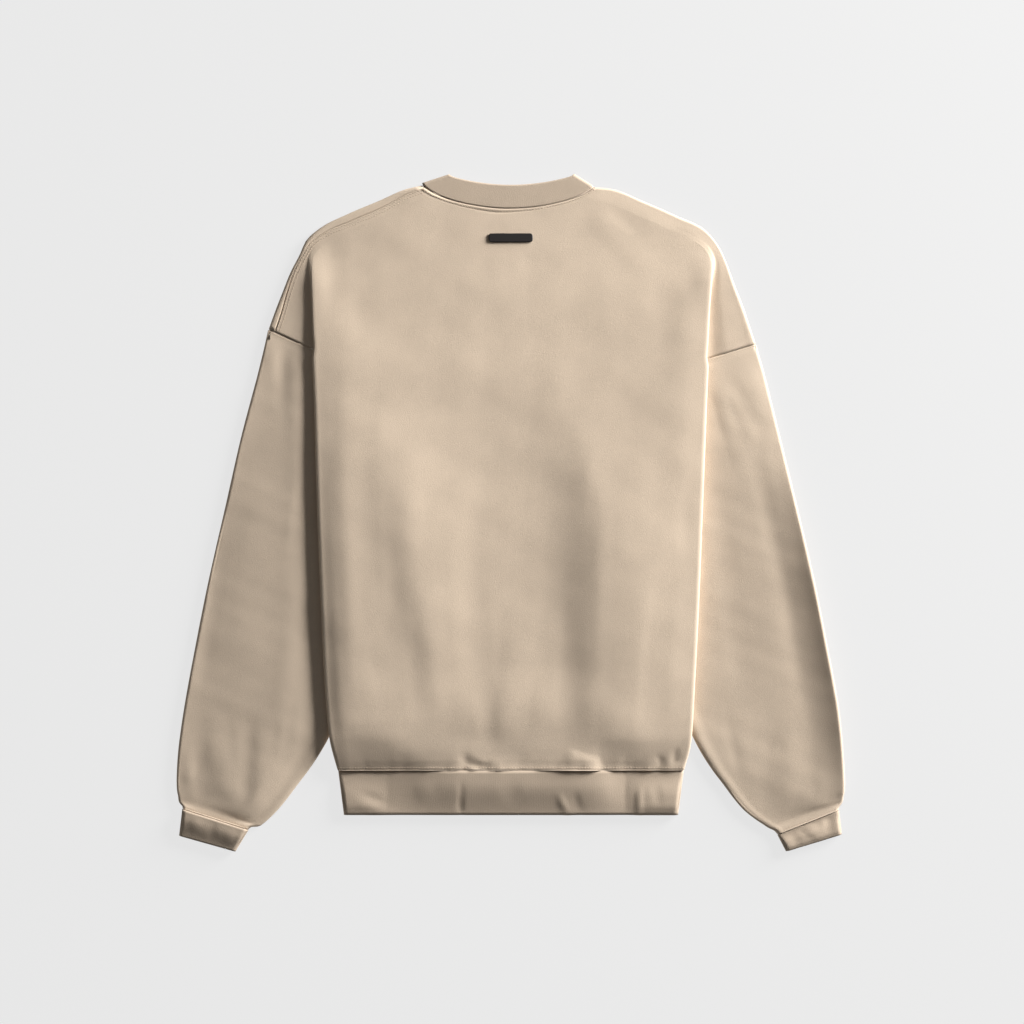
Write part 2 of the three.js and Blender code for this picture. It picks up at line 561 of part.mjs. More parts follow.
// A doubled band of rib, flattened into two layers with a fold at each end.
// upper and lower give the plan of a layer at (share along, share across).
function band(upper, lower, cells, across) {
  const [low, high] = BAND_LEVELS;
  const radius = (high - low) / 2;
  const rows = across.map((v) => {
    const fold = (share, outward, from) => [1, 2, 3].map((k) => {
      const angle = (Math.PI * k) / 4;
      const [x, y] = upper(share, v);
      const reach = radius * Math.sin(angle);
      const z = low + radius * (1 + from * Math.cos(angle));
      return [x + outward[0] * reach, y + outward[1] * reach, z];
    });
    const away = (share, other) => {
      const a = upper(share, v);
      const b = upper(other, v);
      const length = Math.hypot(a[0] - b[0], a[1] - b[1]);
      return [(a[0] - b[0]) / length, (a[1] - b[1]) / length];
    };
    return [
      ...span(cells[0]).map((u) => [...upper(u, v), high]),
      ...fold(1, away(1, 0.98), 1),
      ...span(cells[1]).map((u) => [...lower(1 - u, v), low]),
      ...fold(0, away(0, 0.02), -1),
    ].map((point) => new THREE.Vector3(...point));
  });
  return shell(rows, RIB, { ring: true });
}

function hemBand() {
  const plan = (u, v) => {
    const reach = mix(...HEM_HALF_WIDTH, v) - BAND_INSET;
    return [mix(-reach, reach, u), mix(HEM_SEAM_Y - SEAM_GAP, HEM_EDGE_Y, v)];
  };
  return band(plan, plan, [20, 12], BAND_ROWS);
}

function cuff(side) {
  const [outerTop, innerTop, innerEnd, outerEnd] = side.cuffCorners;
  const length = Math.hypot(outerTop[0] - innerTop[0], outerTop[1] - innerTop[1]);
  const inset = BAND_INSET / length;
  const plan = (u, v) => {
    const share = mix(inset, 1 - inset, u);
    const top = mixPoint(outerTop, innerTop, share);
    const end = mixPoint(outerEnd, innerEnd, share);
    const [out, y] = mixPoint(top, end, v);
    return [side.sign * out, y];
  };
  const gap = (SEAM_GAP * 1.2) / Math.hypot(outerTop[0] - outerEnd[0], outerTop[1] - outerEnd[1]);
  const turned = (u, v) => plan(side.sign > 0 ? 1 - u : u, v);
  return band(turned, turned, [8, 6], [gap, ...BAND_ROWS.slice(1)]);
}

function collar() {
  const corner = (k) => {
    const seam = [NECK.backSeam.from, NECK.backSeam.to][k];
    const edge = [NECK.backEdge.from, NECK.backEdge.to][k];
    const length = Math.hypot(edge[0] - seam[0], edge[1] - seam[1]);
    const turn = ((k === 0 ? 1 : -1) * (BAND_INSET + COLLAR_CORNER_GAP)) / length;
    return [(edge[1] - seam[1]) * turn, -(edge[0] - seam[0]) * turn];
  };
  const shifts = [corner(0), corner(1)];
  const layer = (seam, edge, gap) => (u, v) => {
    const share = mix(u, (1 - Math.cos(Math.PI * u)) / 2, 0.6);
    const x = mix(seam.from[0] + shifts[0][0], seam.to[0] + shifts[1][0], share);
    const cornerLift = COLLAR_CORNER_GAP * Math.abs(2 * share - 1) ** 8;
    const seamPoint = [x, neckPoint(seam, neckShare(seam, x))[1] + gap + cornerLift];
    const inset = {
      ...edge,
      from: [edge.from[0] + shifts[0][0], edge.from[1] + shifts[0][1]],
      to: [edge.to[0] + shifts[1][0], edge.to[1] + shifts[1][1]],
    };
    return mixPoint(seamPoint, neckPoint(inset, share), v);
  };
  const upper = layer(NECK.backSeam, NECK.backEdge, SEAM_GAP * 2);
  const lower = layer(NECK.frontSeam, NECK.frontEdge, SEAM_GAP * 3);
  return band(upper, lower, [22, 26], BAND_ROWS);
}

// The small blank tab lies on the back panel, a little above its wall
function neckTab() {
  const rows = span(2).map((v) => span(10).map((u) => {
    const x = TAB.x + (u - 0.5) * TAB.width;
    const edge = Math.max(0, Math.abs(u - 0.5) * TAB.width - (TAB.width / 2 - TAB.corner));
    const narrow = TAB.corner - Math.sqrt(TAB.corner ** 2 - edge ** 2) * 0.9 - TAB.corner * 0.1;
    const y = TAB.y + (v - 0.5) * (TAB.height - 2 * narrow);
    return new THREE.Vector3(x, y, backHeight(x, y) + FLEECE / 2 + LAYER_GAP + TAB.thickness / 2);
  }));
  return shell(rows, TAB.thickness);
}

const FLEECE_COLOUR = 0xc8b6a1;
const RIB_COLOUR = 0xb9a793;
const TAB_COLOUR = 0x282321;

function cloth(name, geometry, colour, roughness) {
  const material = new THREE.MeshStandardMaterial({ color: colour, roughness, metalness: 0 });
  const mesh = new THREE.Mesh(geometry, material);
  mesh.name = name;
  return mesh;
}

const sweatshirt = new THREE.Group();
sweatshirt.add(
  cloth("back_panel", backPanel(), FLEECE_COLOUR, 0.95),
  cloth("front_panel", frontPanel(), FLEECE_COLOUR, 0.95),
  cloth("sleeve_left", sleeve(LEFT), FLEECE_COLOUR, 0.95),
  cloth("sleeve_right", sleeve(RIGHT), FLEECE_COLOUR, 0.95),
  cloth("collar", collar(), RIB_COLOUR, 0.95),
  cloth("cuff_left", cuff(LEFT), RIB_COLOUR, 0.95),
  cloth("cuff_right", cuff(RIGHT), RIB_COLOUR, 0.95),
  cloth("hem_band", hemBand(), RIB_COLOUR, 0.95),
  cloth("neck_tab", neckTab(), TAB_COLOUR, 0.6),
);

export default sweatshirt;
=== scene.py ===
"""A heavy fleece crewneck sweatshirt laid flat with its back up, on a pale floor under soft studio light.

Lengths are in millimetres until a mesh is made; the floor, light and camera are in metres. +Z is up, the
neck is toward +Y.
Every piece of cloth is a grid of points halfway through its wall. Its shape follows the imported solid,
creases are added to its height, and shell() gives it its thickness.
Places of creases are in the photo's pixels, and at() turns them into millimetres.
"""

import bpy
import numpy as np
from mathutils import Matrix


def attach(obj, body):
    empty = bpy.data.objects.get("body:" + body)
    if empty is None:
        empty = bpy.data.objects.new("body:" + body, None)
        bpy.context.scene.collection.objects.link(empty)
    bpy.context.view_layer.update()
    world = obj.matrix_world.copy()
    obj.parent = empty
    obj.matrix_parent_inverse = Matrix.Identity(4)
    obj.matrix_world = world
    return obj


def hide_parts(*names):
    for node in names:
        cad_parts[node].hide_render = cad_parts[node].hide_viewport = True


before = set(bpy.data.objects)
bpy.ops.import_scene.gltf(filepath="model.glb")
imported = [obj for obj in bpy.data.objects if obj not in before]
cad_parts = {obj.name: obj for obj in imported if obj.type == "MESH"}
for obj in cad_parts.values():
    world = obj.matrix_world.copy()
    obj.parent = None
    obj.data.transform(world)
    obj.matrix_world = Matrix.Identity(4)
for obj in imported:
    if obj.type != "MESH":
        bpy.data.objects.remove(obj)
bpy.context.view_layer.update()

# Driving dimensions
FLEECE, RIB, LAYER_GAP, SEAM_GAP = 2.8, 3.2, 0.3, 0.35
PIXEL = 1.1
HEM_SEAM_Y, HEM_EDGE_Y = -284.4, -334.0
HEM_HALF_WIDTH = (190.5, 184.2)
FLOOR_LEVEL = FLEECE / 2
SECOND_LEVEL = FLOOR_LEVEL + FLEECE + LAYER_GAP
# The back over the front in its middle: its level beside the neck, how much higher it is further down,
# and the y between which it rises
CENTRE_LEVEL, CENTRE_LOFT, LOFT_Y = 5.2, 4.4, (345, 90)
# How far up the body the roll from the hem seam goes
HEM_ROLL = 42
HEM_LEVEL = RIB * 1.5 + LAYER_GAP
HEM_RETURN = 1.6
# The side folds: levels and depth of the part turned under, and how far the edge bulges out
RETURN_INNER, RETURN_OUTER, RETURN_DEPTH = 8.1, 8.9, 2.2
EDGE_FOLD_WIDE = 1.0
EDGE_FOLD_OUT = EDGE_FOLD_WIDE + FLEECE / 2
# A side fold near its tip: how far above it the body starts to rise, the distances down to the full height
# at the edge, further in and in the turned part, down to the fully turned part, and the width at the tip
TIP_START, TIP_EDGE, TIP_INNER, TIP_RISE, TIP_OPENING, TIP_WIDTH = 4, 45, 150, 45, 70, 6.5
# Distances inward from the edge: where the further reach holds, and where the large folds are whole
INNER_FROM, FOLDS_FROM = 60, 45
PRESSED_FOLD = (SECOND_LEVEL - FLOOR_LEVEL) / 2
PRESSED_FOLD_OUT = PRESSED_FOLD + FLEECE / 2
# How wide a sleeve's raised outer rim is, how quickly it falls inward, and how much it narrows the fold
RIM_WIDTH, RIM_POWER, RIM_TUCK = 34, 1.8, 0.08
# Height and reach of a sleeve's lip over the cuff and of its step down at the armhole
CUFF_LIP, CUFF_LIP_REACH, ARM_STEP, ARM_STEP_REACH = 1.6, 12, 0.5, 10
BAND_LEVELS = (RIB / 2, HEM_LEVEL)
BAND_INSET = (HEM_LEVEL - RIB / 2) / 2 + RIB / 2
BAND_PUFF = 5.8
BAND_ROWS = np.linspace(0, 1, 15)
RIB_PERIOD = 1.9
COLLAR_CORNER_GAP = 1.9
# The neck seam's ridge: its height and half width, and how far from the middle it and its stitches go
WELT_HEIGHT, WELT_HALF, WELT_X, NECK_STITCH_X = 0.5, 1.4, 100, 97
# Gathers at the hem seam: share of the table's height, lean, spread upward, and the seam's row in the photo
GATHER_GAIN, GATHER_LEAN, GATHER_SPREAD, GATHER_ROW = 0.8, 0.02, 1.7, 769
# Rows of thread: distances from the seams, then spacing, length and radius of the stitches
HEM_STITCH, SLEEVE_STITCH, SHOULDER_STITCHES = 2.6, 2.2, (1.6, 4.8)
STITCH_PITCH, STITCH_LENGTH, STITCH_RADIUS, SLEEVE_STITCH_LIFT = 3.2, 2.3, 0.34, -0.14
# Radii of the seams' raised edges. At the hem it is the first plus a share of the body's lip
HEM_PIPING, HEM_PIPING_SHARE, NECK_PIPING, ARM_PIPING, CUFF_PIPING = 0.3, 0.16, 0.85, 0.45, 0.5
# The tab: half length, width, corner radius, share of it that is cut, middle and thickness
TAB_HALF, TAB_WIDTH, TAB_CORNER, TAB_CUT = 24.35, 9.5, 3, 0.9
TAB_X, TAB_Y, TAB_THICK = -0.3, 301.3, 1.2
# In metres: half the floor's side, and how far it is below zero
FLOOR_HALF, FLOOR_DROP = 6, 0.0005

LEFT = {
    "sign": -1, "seam_on_top": True, "crown": (0.3, 0.95, 1.0),
    "level": [[-284.4, 16.2], [-100, 16.2], [60, 15], [150, 12.2], [232, 10.2], [290, 10.2]],
    "rim": [[0, 0], [3, 0.4], [9, 0.4], [10, 0], [12, 0]], "fold_tip": 284.4, "side_slope": 185,
    "body_edge": [[-284.4, 191.8], [-262.4, 196.9], [-251.4, 199.1], [-207.4, 203.5], [-97.4, 209],
        [12.7, 213.4], [122.7, 216.7], [232.7, 221.1], [284.4, 222.3]],
    "shoulder": [[0, 267, 201], [0.1, 259.5, 222], [0.2, 251.5, 242.5], [0.3, 243.3, 263],
        [0.4, 232.5, 284], [0.46, 226.3, 298], [0.5, 219.5, 306.2], [0.56, 205.5, 315.2],
        [0.64, 185.9, 325.1], [0.74, 160, 336.5], [0.84, 135, 346.8], [0.93, 112.5, 356.5],
        [1, 98.5, 360.3]],
    "fold_line": [[0, 215, 177.1], [0.1, 216.2, 203.5], [0.2, 217.2, 230], [0.3, 218, 256],
        [0.4, 217, 279], [0.46, 211.5, 288], [0.5, 206, 294], [0.56, 194.5, 301], [0.64, 176.5, 310.5],
        [0.74, 151.5, 321.5], [0.84, 128, 331.5], [0.93, 107, 341.5], [1, 85.2, 350]],
    "seam_inset": [[0, 7.5], [0.1, 7], [0.2, 4.9], [0.3, 3.8], [0.4, 3.8], [0.5, 6.5], [0.64, 9],
        [0.74, 9.6], [0.84, 8], [0.93, 5.5], [1, 3.8]],
    "front_line": [[0, 175.4, 95.3], [0.14, 177, 140], [0.28, 177, 185], [0.42, 174, 232],
        [0.55, 164, 266], [0.7, 141, 296], [0.85, 114, 325], [1, 93, 346.1]],
    "armhole": [[267, 201], [215, 177.1], [202, 162], [191, 134], [183, 95]],
    "sleeve": [[0, 267, 201, 180.05, 95], [1, 279.4, 150.2, 179.5, 76], [2, 297, 84.2, 178.5, 45],
        [3, 315.7, 1.7, 177.5, -15], [4, 334.4, -80.9, 177.5, -85], [5, 348.2, -150.2, 179, -150],
        [6, 359.7, -212.9, 187, -215], [7, 366.9, -264.6, 209, -263.5],
        [8, 368.5, -300.9, 235.4, -300.9], [9, 367, -313, 256, -327.5],
        [10, 365.9, -319.5, 275.5, -345.5], [11, 362, -325, 287.7, -348.4],
        [12, 362.1, -326.5, 288.5, -349.7]],
    "cuff": [[362.2, -327], [288.8, -350.2], [304, -374.1], [365.2, -356.9]],
}
RIGHT = {
    "sign": 1, "seam_on_top": False, "crown": (0.9, 0, 0.75),
    "level": [[-284.4, 12], [-240, 13.2], [-180, 14.8], [-100, 15.6], [60, 14.8], [150, 13], [232, 11],
        [291, 10.6]],
    "rim": [[0, 0], [1, 0.4], [2, 2.6], [3, 7.5], [4, 10.5], [6, 10.5], [7, 9.8], [8, 7], [9, 3.6],
        [10, 0.5], [11, 0], [12, 0]],
    "fold_tip": 291, "side_slope": 165,
    "body_edge": [[-284.4, 191.6], [-262.4, 196.9], [-251.4, 198.5], [-207.4, 201.3], [-97.4, 206.8],
        [12.7, 211.2], [122.7, 215.6], [232.7, 220.6], [291, 224.6]],
    "shoulder": [[0, 269.5, 184.6], [0.1, 262.5, 206], [0.2, 255, 228], [0.3, 246.6, 249],
        [0.4, 237, 275], [0.46, 230.5, 289.5], [0.5, 222, 303], [0.56, 209, 313.5], [0.64, 188, 323.3],
        [0.74, 160.5, 335.5], [0.84, 134.5, 346.5], [0.93, 110, 355.8], [1, 91.3, 358.5]],
    "fold_line": [[0, 213.5, 167.2], [0.1, 215, 195], [0.2, 216.4, 222], [0.3, 218.3, 249],
        [0.4, 219.5, 274.5], [0.46, 215.5, 284.5], [0.5, 209, 292], [0.56, 198, 300],
        [0.64, 179, 308.5], [0.74, 152.5, 320.5], [0.84, 127.5, 331], [0.93, 104.5, 340.8],
        [1, 77, 349]],
    "seam_inset": [[0, PRESSED_FOLD_OUT], [1, PRESSED_FOLD_OUT]],
    "front_line": [[0, 175.4, 88.3], [0.14, 177, 133], [0.28, 177, 180], [0.42, 175, 228],
        [0.55, 165, 264], [0.7, 141, 295], [0.85, 110, 325], [1, 86, 344.7]],
    "armhole": [[269.5, 184.6], [213.5, 167.2], [202, 152], [191, 124], [183, 88]],
    "sleeve": [[0, 269.5, 184.6, 180.05, 88], [1, 279.4, 150.2, 179.5, 70], [2, 295.9, 84.2, 178.5, 40],
        [3, 315.7, 1.7, 177.5, -15], [4, 334.4, -80.9, 177.5, -85], [5, 348, -150.2, 179, -150],
        [6, 359.7, -212.9, 187, -213], [7, 365.2, -264.6, 209, -264.6],
        [8, 367.4, -300.9, 234.3, -300.9], [9, 366.4, -313, 256.3, -328.4],
        [10, 365.2, -319.9, 281.6, -347.1], [11, 361.1, -326.6, 292.4, -354],
        [12, 361.2, -328.1, 293.1, -355.3]],
    "cuff": [[361.3, -328.6], [293.4, -355.9], [303.2, -373.9], [364.1, -355.3]],
}
SIDES = (LEFT, RIGHT)
SIDE_SEAM = [[-284.4, 186.3], [-262, 186.5], [-240, 185.5], [-215, 182.8], [-185, 178.1], [-150, 175.2],
    [-85, 173.8], [-15, 173.8], [45, 174.8], [76, 175.8], [95, 176.4]]
NECK_SEAMS = {"from": (-98.5, 360.3), "to": (91.3, 358.5)}
NECK_EDGES = {"from": (-68.2, 374.3), "to": (70.4, 374.1)}
BACK_SEAM = {**NECK_SEAMS, "drop": 26.4, "power": 0.6}
FRONT_SEAM = {**NECK_SEAMS, "drop": 86, "power": 0.75}
BACK_EDGE = {**NECK_EDGES, "drop": 10, "power": 0.8}
FRONT_EDGE = {**NECK_EDGES, "drop": 69, "power": 0.75}

# The large folds of the back: widths of the left and right flanks, then y, x and height of the crest.
# The lean is how full the steeper left flank is
FOLD_LEAN = 1.3
FOLDS = [
    (60, 94, [[-262, 98, 0.7], [-207, 100, 3.4], [-152, 100, 5.6], [-97, 100, 6.4], [-42, 98, 6.4],
        [13, 94, 5.6], [68, 79, 3], [123, 60, 1.1], [177, 40, 0]]),
    (60, 150, [[-251, -78, 0.4], [-207, -81, 3.8], [-152, -88, 5.4], [-97, -98, 6], [-42, -108, 5.6],
        [13, -116, 4.6], [68, -130, 2.1], [115, -142, 0]]),
    (77, 84, [[-250, 34, 0.3], [-207, 38, 1.5], [-152, 40, 2.3], [-97, 41, 2.7], [-42, 41, 2.7],
        [13, 38, 2.2], [68, 32, 1], [123, 30, 0]]),
]

# Creases, listed one by one. Each: width to its left, width to its right, then x, y (pixels) and height on
# its path
BODY_CREASES = [
    (40, 70, [(350, 738, 0), (400, 736, 2.56), (512, 732, 3.04), (620, 734, 3.04), (672, 738, 0)]),
    (28, 95, [(343, 300, 0), (345, 380, 0.9), (348, 500, 1.7), (353, 620, 2.4), (358, 720, 2),
        (360, 752, 0)]),
    (6, 16, [(312, 350, 0), (314, 400, -0.3), (317, 480, -0.7), (321, 600, -1.5), (326, 700, -2.08),
        (332, 760, -0.8)]),
    (26, 6, [(711, 330, 0), (708, 400, -0.4), (704, 500, -0.7), (699, 600, -0.9), (694, 700, -1),
        (690, 755, -0.6)]),
    (62, 44, [(668, 330, 0), (664, 420, 0.59), (662, 540, 1.09), (664, 660, 1.29), (668, 740, 0.5)]),
    (15, 22, [(668, 545, 0), (659, 600, -0.4), (651, 660, -0.5), (647, 712, -0.3), (645, 748, 0)]),
    (14, 18, [(334, 226, 0), (332, 250, -0.4), (331, 285, -0.4), (334, 330, -0.2), (336, 360, 0)]),
    (18, 26, [(352, 300, 0), (350, 380, 0.34), (346, 470, 0.59), (352, 560, 0.65), (356, 640, 0.3),
        (360, 700, 0)]),
    (16, 20, [(392, 520, 0), (400, 590, -0.45), (412, 650, -0.54), (420, 700, -0.3), (424, 735, 0)]),
    (14, 16, [(372, 560, 0), (377, 610, 0.3), (386, 665, 0.4), (392, 710, 0)]),
    (22, 22, [(470, 500, 0), (469, 560, -0.45), (473, 640, -0.4), (478, 700, 0)]),
    (16, 26, [(517, 590, 0), (514, 650, 0.45), (507, 715, 0.65), (502, 752, 0)]),
    (14, 14, [(484, 660, 0), (487, 715, -0.45), (490, 752, -0.2), (490, 766, 0)]),
    (20, 18, [(566, 590, 0), (570, 650, -0.4), (574, 720, -0.45), (577, 755, 0)]),
    (16, 18, [(548, 660, 0), (543, 705, 0.34), (538, 748, 0)]),
    (18, 16, [(616, 690, 0), (612, 725, 0.45), (607, 758, 0)]),
    (24, 20, [(607, 470, 0), (618, 530, 0.3), (622, 600, 0)]),
    (18, 18, [(585, 206, 0), (607, 226, 0.4), (632, 252, 0.15), (650, 275, 0)]),
    (14, 16, [(600, 203, 0), (628, 219, -0.3), (655, 240, 0)]),
    (20, 24, [(425, 206, 0), (407, 232, 0.25), (384, 262, 0)]),
    (14, 18, [(446, 214, 0), (438, 246, -0.2), (424, 285, 0)]),
    (12, 14, [(500, 246, 0), (494, 270, 0.18), (491, 300, 0)]),
    (12, 14, [(524, 246, 0), (529, 266, -0.18), (530, 290, 0)]),
    (34, 30, [(470, 300, 0), (460, 360, 0.34), (458, 430, 0)]),
    (36, 30, [(575, 290, 0), (590, 350, -0.3), (596, 420, 0)]),
    (30, 34, [(640, 300, 0), (636, 360, -0.34), (640, 440, -0.25), (648, 500, 0)]),
    (26, 26, [(690, 300, 0), (686, 350, 0.4), (688, 410, 0)]),
    (12, 12, [(683, 470, 0), (685, 520, -0.3), (684, 580, 0)]),
]
# Puckers at the hem seam, in the same form
HEM_PUCKERS = [
    (6, 8, [(461, 753, 0), (467, 761, -0.9), (479, 767, -1.2), (494, 770, -0.5), (504, 771, 0)]),
    (12, 9, [(562, 752, 0), (574, 757, 0.8), (585, 761, 1.1), (596, 764, 0.4), (602, 768, 0)]),
    (4, 5, [(598, 750, 0), (600, 762, -0.4), (602, 771, -0.2)]),
    (4, 5, [(657, 752, 0), (660, 760, -0.9), (662, 770, 0)]),
    (4, 4, [(676, 744, 0), (675, 756, -1.1), (673, 768, 0)]),
]
# Gathers above the hem seam: x, pixels up the body, height, half width
HEM_GATHERS = [
    (349, 14, 0.5, 5), (366, 20, -0.5, 6), (384, 16, 0.4, 6), (405, 24, -0.6, 8), (428, 14, 0.5, 7),
    (446, 18, -0.4, 6), (464, 30, -0.8, 6), (474, 24, 0.6, 6), (487, 20, -0.7, 4), (499, 14, 0.7, 5),
    (520, 22, -0.5, 8), (541, 18, 0.5, 7), (556, 22, -0.6, 6), (571, 32, 0.4, 6), (581, 22, -0.4, 5),
    (592, 26, 0.3, 5), (604, 16, -0.3, 5), (618, 20, 0.5, 6), (633, 16, -0.6, 6), (648, 22, 0.7, 5),
    (659, 14, -0.8, 4), (669, 18, 0.6, 5), (680, 14, -0.5, 4),
]
# Along the hem seam: x, how high the body's lip stands over the band, and how far the band is puffed up
HEM_LIP = [[320, 2.2, 0], [345, 2.6, -0.3], [395, 2.2, 0.1], [430, 1.2, 0.7], [456, 0.4, 1],
    [470, 0.4, 1], [486, 1.2, 1], [502, 0.6, 1], [520, 0.2, 1], [540, 0.4, 1], [558, 2, 1],
    [592, 2.2, 0.9], [603, 0.5, 0.7], [618, 2, 0.2], [645, 2.2, -0.4], [668, 1.9, -0.5],
    [690, 1.8, -0.5], [700, 1.6, -0.4]]
LEFT_SLEEVE_CREASES = [
    (9, 9, [(287, 338, 0), (283, 366, -0.75), (281, 398, -0.3), (281, 424, 0)]),
    (9, 10, [(299, 350, 0), (295, 380, 0.6), (293, 420, 0.25), (292, 450, 0)]),
    (8, 9, [(275, 336, 0), (271, 358, 0.45), (268, 388, 0)]),
    (24, 34, [(262, 400, 0), (252, 470, 0.25), (246, 560, 0.3), (240, 650, 0.25), (236, 720, 0)]),
    (10, 14, [(225, 480, 0), (216, 560, -0.4), (206, 640, -0.45), (199, 710, 0)]),
    (14, 16, [(212, 700, 0), (216, 745, 0.5), (226, 785, 0.55), (238, 812, 0)]),
    (13, 13, [(199, 728, 0), (199, 762, -0.55), (204, 795, -0.4), (207, 806, 0)]),
    (11, 13, [(248, 700, 0), (247, 745, -0.45), (246, 785, -0.45), (245, 815, 0)]),
    (12, 14, [(264, 705, 0), (262, 750, 0.5), (257, 795, 0.3), (255, 815, 0)]),
    (9, 10, [(296, 690, 0), (288, 735, -0.45), (277, 775, 0)]),
    (8, 9, [(189, 744, 0), (188, 775, 0.4), (190, 800, 0)]),
]
RIGHT_SLEEVE_CREASES = [
    (13, 13, [(760, 400, 0), (756, 460, -0.22), (771, 530, -0.27), (786, 600, -0.3), (799, 680, -0.27),
        (808, 740, 0)]),
    (9, 11, [(714, 372, 0), (723, 408, 0.46), (736, 452, 0.16), (744, 480, 0)]),
    (10, 11, [(722, 364, 0), (742, 398, -0.43), (760, 430, -0.22), (768, 450, 0)]),
    (10, 10, [(740, 356, 0), (757, 384, 0.25), (768, 415, 0)]),
    (26, 26, [(740, 480, 0), (756, 560, 0.3), (772, 640, 0.35), (782, 715, 0)]),
    (15, 18, [(716, 470, 0), (724, 560, -0.27), (736, 650, -0.32), (748, 720, 0)]),
    (12, 14, [(786, 705, 0), (789, 750, 0.3), (786, 795, 0.25), (782, 816, 0)]),
    (12, 12, [(770, 700, 0), (768, 750, -0.27), (765, 790, -0.22), (763, 814, 0)]),
    (11, 12, [(808, 726, 0), (809, 765, -0.25), (806, 800, 0)]),
    (11, 12, [(748, 705, 0), (745, 750, 0.25), (751, 795, 0)]),
    (8, 9, [(724, 700, 0), (731, 742, -0.25), (742, 782, 0)]),
    (8, 9, [(820, 768, 0), (822, 788, 0.19), (821, 804, 0)]),
]
HEM_BAND_CREASES = [
    (8, 9, [(345, 798, 0), (366, 806, 0.7), (392, 815, 0.3), (400, 818, 0)]),
    (6, 7, [(352, 790, 0), (374, 799, -0.6), (392, 806, 0)]),
    (5, 6, [(461, 774, 0), (461, 792, -0.5), (460, 806, -0.9), (461, 817, 0)]),
    (6, 6, [(556, 790, 0), (563, 804, 1.1), (571, 817, 0.4)]),
    (7, 6, [(572, 786, 0), (577, 802, -0.6), (584, 817, 0)]),
    (5, 6, [(640, 784, 0), (639, 800, 1.0), (639, 817, 0.5)]),
    (7, 8, [(654, 780, 0), (657, 795, -0.5), (660, 812, 0)]),
    (14, 14, [(505, 776, 0), (512, 792, -0.4), (520, 808, 0)]),
    (12, 14, [(420, 776, 0), (424, 792, 0.4), (430, 808, 0)]),
]
LEFT_CUFF_CREASES = [
    (8, 9, [(194, 812, 0), (196, 824, 0.5), (199, 838, 0)]),
    (8, 8, [(212, 815, 0), (212, 830, -0.5), (214, 846, 0)]),
    (9, 9, [(234, 826, 0), (229, 838, 0.5), (226, 848, 0)]),
]
RIGHT_CUFF_CREASES = [
    (7, 8, [(828, 808, 0), (829, 822, -0.8), (828, 840, 0)]),
    (8, 9, [(797, 820, 0), (812, 831, 0.7), (826, 840, 0)]),
    (7, 8, [(786, 830, 0), (795, 840, -0.5), (803, 849, 0)]),
]


def mix(a, b, t):
    """The value a share t of the way from a to b."""
    return a + (b - a) * t


def ease(a, b, t):
    """A smooth step from 0 at a to 1 at b: 3s² − 2s³ for the share s between them."""
    s = np.clip((np.asarray(t, float) - a) / (b - a), 0, 1)
    return s * s * (3 - 2 * s)


def at(px, py):
    """A place in the photo, in millimetres from the middle of the garment."""
    return (np.asarray(px, float) - 511) * PIXEL, (511.5 - np.asarray(py, float)) * PIXEL


def cubic(a, b, s, size, start, end):
    """A cubic piece of the given size from a to b at the share s, with slopes start and end at its ends."""
    return mix(a, b, s * s * (3 - 2 * s)) + s * (1 - s) * size * ((1 - s) * start - s * end)


def track(rows, t):
    """Values of a table at t: cubic pieces whose slope at a row is the mean of its neighbours' slopes."""
    table = np.asarray(rows, float)
    t = np.asarray(t, float)
    place, value = table[:, 0], table[:, 1:]
    gap = np.diff(place)
    slope = np.diff(value, axis=0) / gap[:, None]
    tangent = np.vstack([slope[:1], (slope[1:] + slope[:-1]) / 2, slope[-1:]])
    k = np.clip(np.searchsorted(place, t, side="left") - 1, 0, len(gap) - 1)
    s = np.clip((t - place[k]) / gap[k], 0, 1)[..., None]
    return cubic(value[k], value[k + 1], s, gap[k][..., None], tangent[k], tangent[k + 1])


def chain_length(chain):
    """Distance along a chain of straight pieces at each of its points."""
    steps = np.linalg.norm(np.diff(np.asarray(chain, float), axis=0), axis=-1)
    return np.concatenate([[0], np.cumsum(steps)])


def along(chain, share):
    """Points of a chain of straight pieces at shares of its length."""
    chain, length = np.asarray(chain, float), chain_length(chain)
    return np.stack([np.interp(share * length[-1], length, chain[:, k]) for k in range(chain.shape[1])], -1)


def neck_point(curve, share):
    """Point of a neck curve: the line between its ends, lowered by its drop times a power of a sine."""
    s = np.clip(share, 0, 1)
    x = mix(curve["from"][0], curve["to"][0], s)
    y = mix(curve["from"][1], curve["to"][1], s) - curve["drop"] * np.sin(np.pi * s) ** curve["power"]
    return x, y


def neck_seam_y(curve, x):
    """y of a neck curve at x."""
    return neck_point(curve, (x - curve["from"][0]) / (curve["to"][0] - curve["from"][0]))[1]


def neck_bulge(curve, a, b, q):
    """How far a neck curve is above the straight line from a to b at the shares q of it."""
    return neck_seam_y(curve, mix(a[0], b[0], q)) - mix(a[1], b[1], q)


